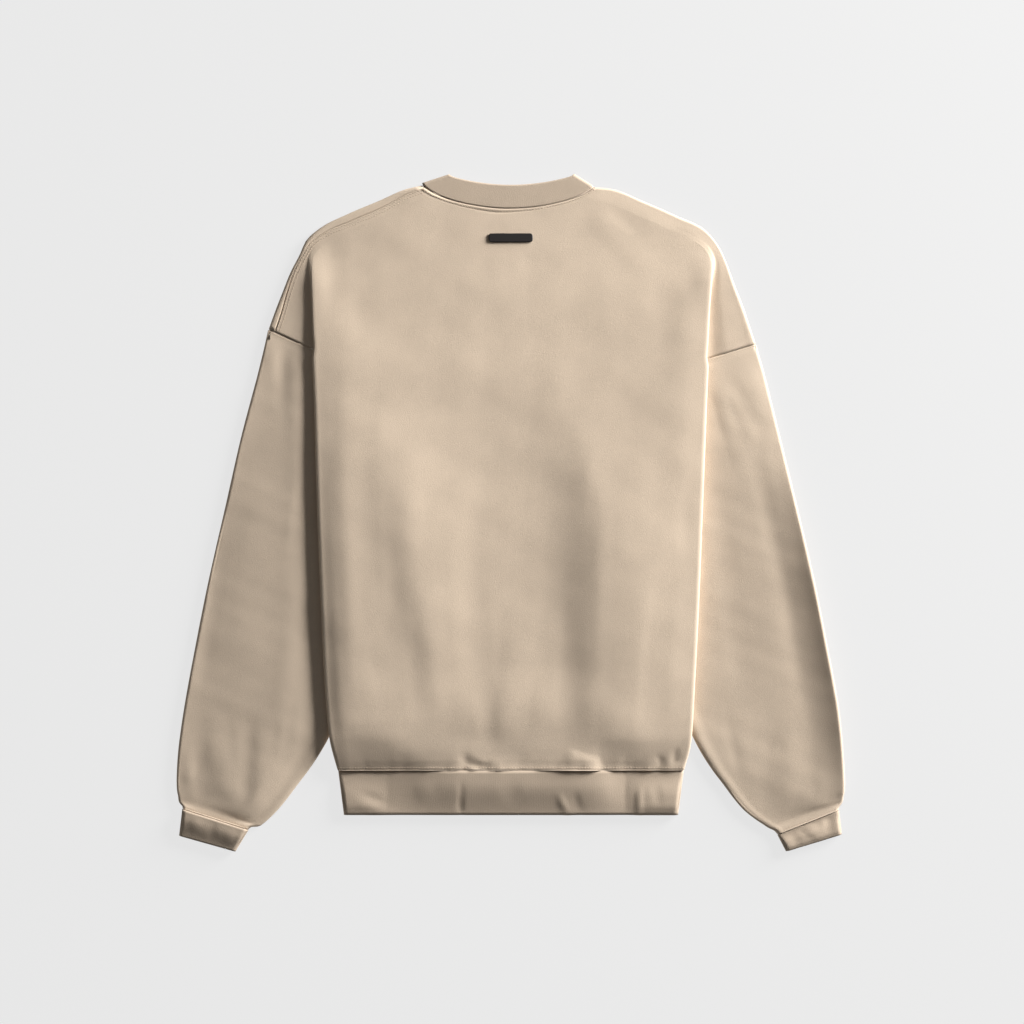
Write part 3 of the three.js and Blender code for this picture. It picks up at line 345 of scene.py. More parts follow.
def crease(x, y, paths):
    """Height of creases at x, y: each crease's height on its path times (1 − t²)², where t is the distance
    from the path over the width on that side. Widths and places are in the photo's pixels."""
    total = np.zeros(np.shape(x))
    for left, right, path in paths:
        px, py, height = np.array(path, float).T
        px, py = at(px, py)
        nearest = np.full(np.shape(x), 1e9)
        found, side = np.zeros(np.shape(x)), np.zeros(np.shape(x))
        for k in range(len(px) - 1):
            dx, dy = px[k + 1] - px[k], py[k + 1] - py[k]
            s = np.clip(((x - px[k]) * dx + (y - py[k]) * dy) / (dx * dx + dy * dy), 0, 1)
            away = np.hypot(x - px[k] - s * dx, y - py[k] - s * dy)
            closer = away < nearest
            nearest = np.where(closer, away, nearest)
            found = np.where(closer, mix(height[k], height[k + 1], s * s * (3 - 2 * s)), found)
            side = np.where(closer, (x - px[k]) * dy - (y - py[k]) * dx, side)
        width = np.where(side > 0, left, right) * PIXEL
        total = total + found * np.clip(1 - (nearest / width) ** 2, 0, 1) ** 2
    return total


def gathers(x, y):
    """Height of the gathers that run up the body from the hem seam: for each, its height times (1 − t²)²
    across, which widens upward, times (1 − the share of its length)^1.5."""
    total = np.zeros(np.shape(x))
    for px, rise, height, half in HEM_GATHERS:
        middle, low = at(px, GATHER_ROW)
        up = np.clip((y - low) / (rise * PIXEL), 0, 1)
        lean = middle + (px - 511) * GATHER_LEAN * up * PIXEL
        t = np.clip(np.abs(x - lean) / (half * PIXEL * mix(1, GATHER_SPREAD, up)), 0, 1)
        total = total + GATHER_GAIN * height * (1 - t * t) ** 2 * (1 - up) ** 1.5
    return total


def waves(x, y, size, seed):
    """Slow unevenness between about −1 and 1: the sum of seven sines over 3.2. Their directions, lengths
    around the given size, and phases are drawn by the seed."""
    draw = np.random.default_rng(seed)
    turn, phase = draw.uniform(0, np.pi, 7), draw.uniform(0, 2 * np.pi, 7)
    total = 0
    for a, w, p in zip(turn, size * draw.uniform(0.6, 1.7, 7), phase):
        total = total + np.sin((x * np.cos(a) + y * np.sin(a)) * 2 * np.pi / w + p)
    return total / 3.2


def slow_waves(x, y):
    """Height of the back panel's slowest waves, which the tab follows too."""
    return 0.35 * waves(x, y, 150, 3)


def resting_height(y):
    """Height of the back over the front in its middle, lower beside the neck."""
    return CENTRE_LEVEL + CENTRE_LOFT * ease(*LOFT_Y, y)


def large_folds(x, y):
    """Height of the large folds: the crest's height times (1 − t²)² on the right flank and times
    (1 − t)²(1 + lean · t) on the left one, for the distance t from the crest in flank widths."""
    z = np.zeros(np.shape(x))
    for left, right, crest in FOLDS:
        place = track(crest, y)
        t = np.clip(np.abs(x - place[..., 0]) / np.where(x < place[..., 0], left, right), 0, 1)
        flank = np.where(x < place[..., 0], (1 - t) ** 2 * (1 + FOLD_LEAN * t), (1 - t * t) ** 2)
        z = z + np.maximum(0, place[..., 1]) * flank
    return z


def fold_height(side, y):
    """How much of the body's height there is at y: none at the tip of the side fold."""
    return ease(0, TIP_RISE, side["fold_tip"] + TIP_START - y)


def hem_share(y):
    """How far the body has rolled up from the hem seam at y, from 0 to 1: a quarter of a sine."""
    return np.sin(np.pi / 2 * np.clip((y - HEM_SEAM_Y) / HEM_ROLL, 0, 1))


def back_height(x, y):
    """Height of the middle of the back panel's wall: its resting height, plus a rise to each side's level
    that fades inward and toward the side fold's tip, plus the large folds, all rolled down at the hem."""
    resting = resting_height(y)
    z, folds = resting, large_folds(x, y)
    for side in SIDES:
        inward = track(side["body_edge"], y)[..., 0] - EDGE_FOLD_OUT - side["sign"] * x
        reach = mix(TIP_EDGE, TIP_INNER, ease(0, INNER_FROM, inward))
        rise = ease(0, 1, (side["fold_tip"] + TIP_START - y) / reach)
        rise = rise * (1 - ease(0, side["side_slope"], inward))
        z = z + (track(side["level"], y)[..., 0] - resting) * rise
        folds = folds * ease(0, FOLDS_FROM, inward)
    return mix(HEM_LEVEL, z + folds, hem_share(y))


def hem_lip(x):
    """The two values of the hem's table at x."""
    return track(HEM_LIP, np.clip(x / PIXEL + 511, 320, 700))


def shoulder_level(share):
    """Level of the panels' shoulder edges, a little higher beside the thicker neck rib."""
    return SECOND_LEVEL + (RIB - FLEECE) * ease(0.85, 1, share)


def smooth(grid, parts, closed=False):
    """The grid with each gap between its rows cut into parts, on cubic curves down its columns.
    A row's direction is the mean of its neighbours', weighted toward the nearer one."""
    step = np.roll(grid, -1, axis=0) - grid
    size = np.maximum(np.linalg.norm(step, axis=-1, keepdims=True), 1e-6)
    rate = step / size
    last_size, last_rate = np.roll(size, 1, axis=0), np.roll(rate, 1, axis=0)
    tangent = (last_rate * size + rate * last_size) / (size + last_size)
    if not closed:
        tangent[0], tangent[-1] = rate[0], rate[-2]
    k = np.repeat(np.arange(len(parts)), parts)
    after = (k + 1) % len(grid)
    s = np.concatenate([np.arange(part) / part for part in parts])[:, None, None]
    fine = cubic(grid[k], grid[after], s, size[k], tangent[k], tangent[after])
    return fine if closed else np.concatenate([fine, grid[-1:]])


def across(grid, parts, closed=False):
    """The same with the gaps between columns."""
    return smooth(grid.swapaxes(0, 1), parts, closed).swapaxes(0, 1)


def parts_for(grid, step, axis=0):
    """How many parts each gap needs to be no longer than step on average."""
    gaps = np.linalg.norm(np.diff(grid, axis=axis), axis=-1)
    return np.maximum(1, np.round(gaps.mean(axis=1 - axis) / step)).astype(int)


def folded_columns(top, outer, inner, end, depth, ramp, ramp_length):
    """The fold that lays the body over a sleeve, as outward offsets and heights from the edge inward:
    a half circle, the return under it, and at its end either a half circle down or a ramp."""
    rows = [np.asarray(v, float)[:, None] for v in (top, outer, inner, end, depth, ramp, ramp_length)]
    top, outer, inner, end, depth, ramp, ramp_length = rows
    quarter = np.arange(1, 5) / 4
    half = np.arange(1, 3) / 2
    radius, turn = (top - outer) / 2, (inner - end) / 2
    offset = np.hstack([
        np.minimum(radius, EDGE_FOLD_WIDE) * np.sin(np.pi * quarter),
        -depth * half,
        mix(-depth - turn * np.sin(np.pi * quarter), -depth - ramp_length * quarter, ramp),
    ])
    height = np.hstack([
        outer + radius * (1 + np.cos(np.pi * quarter)),
        mix(outer, inner, half),
        mix(end + turn * (1 + np.cos(np.pi * quarter)), mix(inner, end, quarter ** 1.6), ramp),
    ])
    return offset, height


def placed(start, outward, offset, height):
    """Points at offsets along a direction from a start, as out, y and height."""
    plan = start[:, None, :] + outward[:, None, :] * offset[..., None]
    return np.concatenate([plan, height[..., None]], axis=-1)


def unit(v):
    """The vectors at length 1."""
    return v / np.maximum(np.linalg.norm(v, axis=-1, keepdims=True), 1e-9)


# The y of the rows below the armhole, of the back and of the front panel
BACK_LOW_ROWS = [-283.9, -279, -271, -261, -250, -235, -215, -185, -140, -90, -40, 10, 50]
FRONT_LOW_ROWS = [-283.9, -272, -258, -240, -215, -185, -150, -85, -15, 45]
# Level of the back's edge at the side seam, and length of the ramp down to it at the hem and above
SIDE_SEAM_LEVEL, RAMP_LENGTHS = 3.4, (0.5, 5)


def lower_side(side):
    """The rows below the armhole on one side: up the side seam, then along the hidden armhole seam."""
    second, third, fourth, underarm = (np.array(p, float) for p in side["armhole"][1:])
    plain = [*BACK_LOW_ROWS, underarm[1] - 15]
    y = np.array([*plain, underarm[1] + 2])
    hidden = np.array([mix(underarm, fourth, 0.5), fourth, mix(fourth, third, 0.5), third,
                       mix(third, second, 0.5)])
    target = np.vstack([np.column_stack([track(SIDE_SEAM, y)[:, 0], y]), hidden])
    y = np.concatenate([y, hidden[:, 1] + LAYER_GAP])
    ramp = np.concatenate([np.ones(len(plain) + 1), np.zeros(5)])
    end = np.array([*[SIDE_SEAM_LEVEL] * len(plain), SECOND_LEVEL + 0.1, *[SECOND_LEVEL] * 5])
    share = hem_share(y)
    edge = track(side["body_edge"], y)[:, 0] - mix(PRESSED_FOLD + RIB / 2, EDGE_FOLD_OUT, share)
    start = np.column_stack([edge, y])
    reach = np.linalg.norm(start - target, axis=1)
    ramp_length = ramp * mix(*RAMP_LENGTHS, share)
    offset, height = folded_columns(
        mix(HEM_LEVEL, track(side["level"], y)[:, 0], share), mix(HEM_RETURN, RETURN_OUTER, share),
        mix(HEM_RETURN - 0.1, RETURN_INNER, share), mix(FLOOR_LEVEL, end, share),
        reach - ramp_length + np.where(ramp > 0, 0, SEAM_GAP * 2.2), ramp, ramp_length)
    return start, placed(start, unit(start - target), offset, height)


UPPER_SHARES = np.array([0, 0.06, 0.12, 0.18, 0.23, 0.28, 0.32, 0.36, 0.4, 0.46, 0.54, 0.66, 0.8, 0.92, 1])
FOLD_COLUMNS = 10


def upper_side(side):
    """The rows above the armhole, where the fold opens toward its tip and the panel runs to the shoulder."""
    share = UPPER_SHARES
    outline, start = track(side["shoulder"], share), track(side["fold_line"], share)
    length = np.linalg.norm(outline - start, axis=1)
    reach = (length - track(side["seam_inset"], share)[:, 0])[:, None]
    one = np.ones(len(share))
    same = [v * one for v in (RETURN_OUTER, RETURN_INNER, SECOND_LEVEL, RETURN_DEPTH, 0, 0)]
    offset, height = folded_columns(track(side["level"], start[:, 1])[:, 0], *same)
    rise = fold_height(side, start[:, 1])[:, None]
    opening = ease(0, TIP_OPENING, side["fold_tip"] - start[:, 1])[:, None]
    resting = resting_height(start[:, 1])[:, None]
    level = shoulder_level(share)[:, None]
    flat = TIP_WIDTH * np.arange(1, FOLD_COLUMNS + 1) / FOLD_COLUMNS
    offset = mix(flat, offset, opening)
    height = mix(mix(resting, level, flat / reach), height, rise)
    third = np.array([0.5, 0.92, 1])
    offset = np.hstack([offset, mix(offset[:, -1:], reach, third)])
    height = np.hstack([height, mix(height[:, -1:], level, third)])
    if not side["seam_on_top"]:
        turn = np.radians([30, 60, 90])
        offset = np.hstack([offset, reach + PRESSED_FOLD * np.sin(turn), reach + PRESSED_FOLD])
        height = np.hstack([height, level - PRESSED_FOLD * (1 - np.cos(turn)), 1.6 * one[:, None]])
    return start, placed(start, (outline - start) / length[:, None], offset, height)


MAIN_SHARES = np.array([0, 0.006, 0.052, 0.11, 0.17, 0.23, 0.285, 0.35, 0.42, 0.49, 0.555, 0.605, 0.645,
                        0.675, 0.705, 0.735, 0.775, 0.83, 0.885, 0.945, 0.994, 1])


def back_grid():
    """The back panel as rows from hem to neck and columns from its left edge to its right edge."""
    lower, upper = [lower_side(s) for s in SIDES], [upper_side(s) for s in SIDES]
    first = len(lower[0][0])
    neck = np.concatenate([np.zeros(first), UPPER_SHARES])[:, None]
    starts, flanks = [], []
    for side, low, high in zip(SIDES, lower, upper):
        count = high[1].shape[1]
        pad = np.repeat(low[1][:, -1:], count - FOLD_COLUMNS, axis=1)
        points = np.vstack([np.concatenate([low[1], pad], axis=1), high[1]])
        points[:, :, 0] *= side["sign"]
        points[-1, :, 1] = neck_seam_y(BACK_SEAM, points[-1, :, 0])
        over = points[:, FOLD_COLUMNS:]
        over[first - 1] = 2 * over[first] - over[first + 1]
        flanks.append(points)
        starts.append(np.vstack([low[0], high[0]]) * [side["sign"], 1])
    left, right = starts
    q = MAIN_SHARES[None, :]
    x, y = (mix(left[:, k:k + 1], right[:, k:k + 1], q) for k in (0, 1))
    y = y + neck_bulge(BACK_SEAM, left[-1], right[-1], q) * neck ** 3
    main = np.stack([x, y, back_height(x, y)], axis=-1)
    grid = np.concatenate([flanks[0][:, ::-1], main, flanks[1]], axis=1)
    return grid, first, flanks[0].shape[1], flanks[1].shape[1]


def shoulder_point(side, share, inset):
    """A point of the shoulder at a share of its length, at a distance inward from the outline."""
    outline, toward = track(side["shoulder"], share), track(side["fold_line"], share)
    return outline + unit(toward - outline) * inset


def front_shoulder(side, share):
    """One row of the front panel's shoulder, from the outline's roll inward, as out, y and height."""
    level = shoulder_level(share)
    inset = PRESSED_FOLD_OUT if side["seam_on_top"] else FLEECE + SEAM_GAP
    roll = [(PRESSED_FOLD_OUT - PRESSED_FOLD * np.sin(a), mix(FLOOR_LEVEL, level, (1 - np.cos(a)) / 2))
            for a in np.radians([180, 160, 140, 118, 95, 72, 50, 25])]
    lap = max(track(side["seam_inset"], share)[0] - SEAM_GAP, PRESSED_FOLD_OUT + 0.2)
    edge = ([(lap, level), *roll] if side["seam_on_top"] else []) + [(inset, FLOOR_LEVEL)]
    last = track(side["front_line"], 0)
    under = side["armhole"][-1]
    corners = [*side["armhole"][1:-1], (under[0] - SEAM_GAP * 2, under[1] + SEAM_GAP * 2),
               (last[0], under[1] + SEAM_GAP)]
    shares = chain_length([side["armhole"][0], *corners])
    shares = (shares / shares[-1])[1:-1, None]
    straight = mix(shoulder_point(side, share, inset), track(side["front_line"], share), shares)
    chord = mix(shoulder_point(side, 0, inset), last, shares)
    plan = straight + (np.array(corners[:-1]) - chord) * (1 - ease(0, 0.5, share))
    rows = [[*shoulder_point(side, share, i), z] for i, z in edge]
    return np.array(rows + [[*p, FLOOR_LEVEL] for p in plan])


def front_grid():
    """The front panel as rows from hem to neck and columns from left to right."""
    lowest = len(FRONT_LOW_ROWS) + 1
    insets = np.array([0, 1.4, 2.8, 4.2])
    fade = (1 - insets / 4.2) ** 2
    ends = [track(side["front_line"], 1) * [side["sign"], 1] for side in SIDES]
    rows = []
    for j in range(lowest + len(UPPER_SHARES)):
        share = 0 if j < lowest else UPPER_SHARES[j - lowest]
        edge, lift = [], []
        for side in SIDES:
            y = [*FRONT_LOW_ROWS, side["armhole"][-1][1] - 14][min(j, lowest - 1)]
            seam = np.array([track(SIDE_SEAM, y)[0] - 1, y])
            edge.append(seam if j < lowest else track(side["front_line"], share))
            lift.append(1.5 * hem_share(y) if j < lowest else 0)
        a, b = edge[0] * [-1, 1], edge[1]
        near = insets / (b[0] - a[0])
        q = np.concatenate([near, mix(near[-1], 1 - near[-1], np.arange(1, 14) / 14), (1 - near)[::-1]])
        rise = np.concatenate([lift[0] * fade, np.zeros(13), lift[1] * fade[::-1]])
        bulge = neck_bulge(FRONT_SEAM, *ends, q) * share ** 1.3
        main = np.column_stack([mix(a[0], b[0], q), mix(a[1], b[1], q) + bulge, FLOOR_LEVEL + rise])
        flanks = []
        for side in SIDES:
            points = front_shoulder(side, share) * [side["sign"], 1, 1]
            if share == 1:
                on_top = points[:, 2] > FLOOR_LEVEL + LAYER_GAP
                seam = [neck_seam_y(curve, points[:, 0]) for curve in (BACK_SEAM, FRONT_SEAM)]
                points[:, 1] = np.where(on_top, *seam)
            flanks.append(points)
        rows.append(np.vstack([flanks[0], main, flanks[1][::-1]]))
    return np.array(rows), lowest, len(flanks[0]), len(flanks[1])


# The rows of a sleeve from armhole to cuff, and the height of its crown at them
STATIONS = [0, 0.35, 0.7, 1, 1.5, 2, 2.5, 3, 3.5, 4, 4.5, 5, 5.5, 6, 6.5, 7, 7.5, 8, 8.5, 9, 9.5, 9.85, 10,
            11, 12]
SLEEVE_LOFT = [[0, 0], [1, 1.6], [2, 3.6], [3, 4.6], [6, 5], [8, 6], [9, 5.5], [9.6, 4], [10, 1.6],
               [11, 0.5], [12, 0.5]]


def cut(ends, counts):
    """Values from each end to the next, the gaps between ends cut into the given counts."""
    parts = [mix(a, b, np.arange(n) / n) for a, b, n in zip(ends, ends[1:], counts)]
    return np.concatenate([*parts, ends[-1:]])


def sleeve_grid(side):
    """A sleeve as rows from armhole to cuff, and how many columns its upper layer has. Each row is a ring:
    the upper layer from the outer edge inward, the inner fold, the lower layer back, and the outer fold."""
    corners = chain_length(side["armhole"])
    corners = corners / corners[-1]
    shares = cut(corners, (8, 4, 2, 3))
    shares = np.insert(shares, 1, 0.15 * shares[1])
    back = cut(corners[::-1], (3, 2, 3, 6))
    ends0 = np.array([side["armhole"][0], side["armhole"][-1]], float)
    arc = np.pi * np.arange(1, 6) / 6
    rows = []
    for station in STATIONS:
        outer, inner = track(side["sleeve"], station).reshape(2, 2)
        inward = unit(inner - outer)
        rim = track(side["rim"], station)[0]
        ends = ends0 if station == 0 else np.array([
            outer + inward * (PRESSED_FOLD_OUT - RIM_TUCK * rim), inner - inward * PRESSED_FOLD_OUT])
        bend = 1 - ease(0, 3, station)

        def plan(share):
            straight, chord = (mix(*pair, share[:, None]) for pair in (ends, ends0))
            return straight + (along(side["armhole"], share) - chord) * bend

        upper = plan(shares)
        hidden = np.maximum(track(side["body_edge"], upper[:, 1])[:, 0] + 1, ends[1][0])
        shown = (upper[:, 0] - hidden) / (ends[0][0] - hidden)
        near, lean, gain = side["crown"]
        crown = ease(0, near, shown) * mix(1, 1 - shown, lean) * gain
        at_rim = np.clip(1 - np.linalg.norm(upper - ends[0], axis=1) / RIM_WIDTH, 0, 1) ** RIM_POWER
        loft = mix(track(SLEEVE_LOFT, station)[0] * crown, rim, at_rim)
        upper = np.column_stack([upper, SECOND_LEVEL + loft])
        lower = plan(back)
        lower = np.column_stack([lower, np.full(len(lower), FLOOR_LEVEL)])

        def fold(place, way, sign, lift):
            reach = place + np.outer((PRESSED_FOLD - RIM_TUCK * lift) * np.sin(arc), way)
            height = FLOOR_LEVEL + (PRESSED_FOLD + lift / 2) * (1 + sign * np.cos(arc))
            return np.column_stack([reach, height])

        outer_end = outer + inward * PRESSED_FOLD_OUT if station == 0 else ends[0]
        inner_way = np.array([-1.0, 0.0]) if station == 0 else inward
        ring = np.vstack([upper, fold(ends[1], inner_way, 1, 0), lower, fold(outer_end, -inward, -1, rim)])
        if station == 0:
            ring[0, :2] = ring[len(upper) + 5 + len(lower) - 1, :2] = outer_end
            ring = ring + [SEAM_GAP, -SEAM_GAP, 0]
        rows.append(ring * [side["sign"], 1, 1])
    return np.array(rows), len(upper)


def band_grid(upper, lower, cells, rows):
    """A doubled band: the upper layer's plan, a fold, the lower layer's plan back, and a fold."""
    low, high = BAND_LEVELS
    radius = (high - low) / 2
    arc = np.pi * np.arange(1, 8) / 8
    u, w = np.arange(cells[0] + 1) / cells[0], 1 - np.arange(cells[1] + 1) / cells[1]
    made = []
    for v in rows:
        def fold(share, other, sign):
            place, inside = upper(np.array([share, other]), v)
            reach = place + np.outer(radius * np.sin(arc), unit(place - inside))
            return np.column_stack([reach, low + radius * (1 + sign * np.cos(arc))])

        over, under = upper(u, v), lower(w, v)
        made.append(np.vstack([
            np.column_stack([over, np.full(len(u), high)]), fold(1.0, 0.98, 1),
            np.column_stack([under, np.full(len(w), low)]), fold(0.0, 0.02, -1)]))
    return np.array(made)


def grid_normals(points, quads):
    """Normals of the vertices: the sum of the faces' normals, each weighted by its area."""
    a, b, c, d = (points[quads[:, k]] for k in range(4))
    face = np.cross(c - a, d - b)
    normal = np.zeros_like(points)
    for k in range(4):
        np.add.at(normal, quads[:, k], face)
    return unit(normal)


def grid_quads(rows, columns, ring=False, keep=None):
    """Faces of a grid of rows and columns, left out where keep is false."""
    j, i = np.meshgrid(np.arange(rows - 1), np.arange(columns if ring else columns - 1), indexing="ij")
    low, after = j * columns, (i + 1) % columns
    quads = np.stack([low + i, low + after, low + columns + after, low + columns + i], -1)
    return quads[keep] if keep is not None else quads.reshape(-1, 4)


def shell(grid, thickness, ring=False, keep=None, flip=False):
    """A wall of the given thickness about a grid: each point moved half of it both ways along the normal,
    with a strip of faces round every open edge. Returns points, faces, each point's place in the grid, and
    which faces are shaded smooth, which are all but the strip's."""
    rows, columns = grid.shape[:2]
    points = grid.reshape(-1, 3)
    quads = grid_quads(rows, columns, ring, keep)
    if flip:
        quads = quads[:, ::-1]
    normal = grid_normals(points, quads)
    used, index = np.unique(quads, return_inverse=True)
    quads = index.reshape(quads.shape)
    points, normal, count = points[used], normal[used], len(used)
    both = np.vstack([points + normal * thickness / 2, points - normal * thickness / 2])
    start, end = quads.ravel(), np.roll(quads, -1, axis=1).ravel()
    lone = ~np.isin(start * count + end, end * count + start)
    a, b = start[lone], end[lone]
    rim = np.stack([b, a, a + count, b + count], -1)
    quads = np.vstack([quads, quads[:, ::-1] + count, rim])
    return both, quads, np.concatenate([used, used]), np.arange(len(quads)) < len(quads) - len(rim)


def piece(name, points, quads, material, soft=True, place=None):
    """A mesh object in metres with the given faces of four corners, shaded smooth where soft is true.
    Places along a band go into its attribute along."""
    mesh = bpy.data.meshes.new(name)
    mesh.vertices.add(len(points))
    mesh.vertices.foreach_set("co", (points * 0.001).astype(np.float32).ravel())
    mesh.loops.add(quads.size)
    mesh.loops.foreach_set("vertex_index", quads.astype(np.int32).ravel())
    mesh.polygons.add(len(quads))
    mesh.polygons.foreach_set("loop_start", np.arange(0, quads.size, 4, dtype=np.int32))
    mesh.polygons.foreach_set("use_smooth", np.zeros(len(quads), bool) | soft)
    if place is not None:
        mesh.attributes.new("along", "FLOAT", "POINT").data.foreach_set("value", place.astype(np.float32))
    mesh.materials.append(material)
    mesh.update(calc_edges=True)
    mesh.validate()
    thing = bpy.data.objects.new(name, mesh)
    bpy.context.scene.collection.objects.link(thing)
    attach(thing, "root")
    return thing


def travelled(grid):
    """Distance down each column from the first row."""
    steps = np.linalg.norm(np.diff(grid, axis=0), axis=-1)
    return np.concatenate([np.zeros((1, grid.shape[1])), np.cumsum(steps, axis=0)])


def neck_welt(d):
    """Profile beside the neck seam at the distance d: a rounded ridge of the welt's height, then a valley
    half as deep, and at the seam itself a step down by half."""
    t = d / WELT_HALF
    ridge = np.clip(1 - (t - 1) ** 2, 0, 1) ** 1.5
    valley = np.clip(1 - ((t - 2.9) / 1.6) ** 2, 0, 1) ** 2
    step = np.clip(1 - d / 1.2, 0, 1) ** 2
    return WELT_HEIGHT * (ridge - 0.5 * valley - 0.5 * step)


def level_line(grid, distance, d, facing=1):
    """The line on the grid at distance d down each column, with its normals. facing −1 turns them over."""
    rows, columns = grid.shape[:2]
    k = np.clip((distance < d).sum(axis=0), 1, rows - 1)
    i = np.arange(columns)
    low, high = distance[k - 1, i], distance[k, i]
    s = np.clip((d - low) / np.maximum(high - low, 1e-6), 0, 1)[:, None]
    normal = grid_normals(grid.reshape(-1, 3), grid_quads(rows, columns)).reshape(grid.shape) * facing
    return mix(grid[k - 1, i], grid[k, i], s), unit(mix(normal[k - 1, i], normal[k, i], s))


def raised(line, normal, seen=True, height=FLEECE / 2, shift=(0, 0, 0)):
    """The seen part of a line on a wall's middle, lifted to the wall's face and moved by the shift."""
    seen = seen & (normal[:, 2] > 0.3)
    return (line + normal * height + shift)[seen], normal[seen]


def tube_faces(rings, count):
    """Faces of closed tubes of the given number of rings, six points to a ring."""
    last = (rings - 1) * 6 + np.array([[0, 1, 2, 3], [0, 3, 4, 5]])
    tube = np.vstack([grid_quads(rings, 6, ring=True), [[0, 5, 4, 3], [0, 3, 2, 1]], last])
    return (tube[None] + np.arange(count)[:, None, None] * rings * 6).reshape(-1, 4)


ROUND = 2 * np.pi * np.arange(6) / 6


def stitches(name, lines, lift=0.05):
    """Sewing thread: on each line a row of small rounded beads, longer than wide, half in the cloth."""
    a = np.repeat(np.array([-1, -0.8, 0, 0.8, 1]) * STITCH_LENGTH / 2, 6)
    width = np.array([0.25, 0.8, 1, 0.8, 0.25]) * STITCH_RADIUS
    b, c = (np.outer(width, f(ROUND)).ravel() for f in (np.cos, np.sin))
    points = []
    for line, normal in lines:
        where = chain_length(line)
        spots = np.arange(STITCH_PITCH / 2, where[-1], STITCH_PITCH)
        centre, up, ahead = (
            np.stack([np.interp(spots + shift, where, v[:, k]) for k in range(3)], -1)
            for v, shift in ((line, 0), (normal, 0), (line, 0.4)))
        up, tangent = unit(up), unit(ahead - centre)
        side = np.cross(up, tangent)
        centre = centre + up * lift
        bead = (centre[:, None] + tangent[:, None] * a[:, None] + side[:, None] * b[:, None]
                + up[:, None] * c[:, None])
        points.append(bead.reshape(-1, 3))
    points = np.vstack(points)
    piece(name, points, tube_faces(5, len(points) // 30), THREAD)


def piping(name, lines, look):
    """The thin raised edge of a seam: a cord of a given radius along each line, thinner toward its ends."""
    points, quads, count = [], [], 0
    for (line, normal), radius in lines:
        side = np.cross(normal, unit(np.gradient(line, axis=0)))
        taper = 0.2 + 0.8 * np.sin(np.pi * np.linspace(0, 1, len(line))) ** 0.2
        ring = line[:, None] + (radius * taper)[:, None, None] * (
            side[:, None] * np.cos(ROUND)[:, None] + normal[:, None] * np.sin(ROUND)[:, None])
        points.append(ring.reshape(-1, 3))
        quads.append(tube_faces(len(line), 1) + count)
        count += len(line) * 6
    piece(name, np.vstack(points), np.vstack(quads), look)


def node_group(name, inputs, outputs):
    """An empty shader node group with its sockets, and its input and output nodes."""
    group = bpy.data.node_groups.new(name, "ShaderNodeTree")
    for label, kind, default in inputs:
        group.interface.new_socket(label, in_out="INPUT", socket_type=kind).default_value = default
    for label, kind in outputs:
        group.interface.new_socket(label, in_out="OUTPUT", socket_type=kind)
    return group, group.nodes.new("NodeGroupInput"), group.nodes.new("NodeGroupOutput")


def add(tree, kind, inputs=None, **settings):
    """A node with its settings, whose inputs are values or other nodes' sockets."""
    node = tree.nodes.new(kind)
    for key, value in settings.items():
        setattr(node, key, value)
    for key, value in (inputs or {}).items():
        if isinstance(value, bpy.types.NodeSocket):
            tree.links.new(value, node.inputs[key])
        else:
            node.inputs[key].default_value = value
    return node


def maths(tree, operation, *values):
    """The result of a maths node on values or other nodes' sockets."""
    return add(tree, "ShaderNodeMath", dict(enumerate(values)), operation=operation).outputs[0]


def cloth_group():
    """Brushed cloth: its colour mottled by slow and fine noise, and a grain for the bump."""
    group, source, sink = node_group(
        "brushed_cloth",
        [("Colour", "NodeSocketColor", (0.5, 0.5, 0.5, 1)), ("Mottle", "NodeSocketFloat", 0.05)],
        [("Colour", "NodeSocketColor"), ("Height", "NodeSocketFloat")])
    place = add(group, "ShaderNodeTexCoord").outputs["Object"]
    slow, fine = (
        add(group, "ShaderNodeTexNoise", {"Vector": place, **inputs}).outputs[0]
        for inputs in ({"Scale": 38, "Detail": 3}, {"Scale": 620, "Detail": 4, "Roughness": 0.7}))
    even = maths(group, "SUBTRACT", maths(group, "ADD", slow, fine), 1.0)
    gain = maths(group, "ADD", maths(group, "MULTIPLY", even, source.outputs["Mottle"]), 1.0)
    tint = add(group, "ShaderNodeVectorMath", {0: source.outputs["Colour"], 1: gain}, operation="MULTIPLY")
    grain = add(group, "ShaderNodeTexNoise", {
        "Vector": place, "Scale": 950, "Detail": 3, "Roughness": 0.75})
    group.links.new(tint.outputs[0], sink.inputs["Colour"])
    group.links.new(grain.outputs[0], sink.inputs["Height"])
    return group


def plain_material(name, colour, roughness, **inputs):
    """A material of one colour and roughness, with other inputs of its shader as named, and the shader."""
    material = bpy.data.materials.new(name)
    material.use_nodes = True
    shader = next(n for n in material.node_tree.nodes if n.type == "BSDF_PRINCIPLED")
    named = {key.replace("_", " "): value for key, value in inputs.items()}
    for key, value in {"Base Color": (*colour, 1), "Roughness": roughness, **named}.items():
        shader.inputs[key].default_value = value
    return material, shader


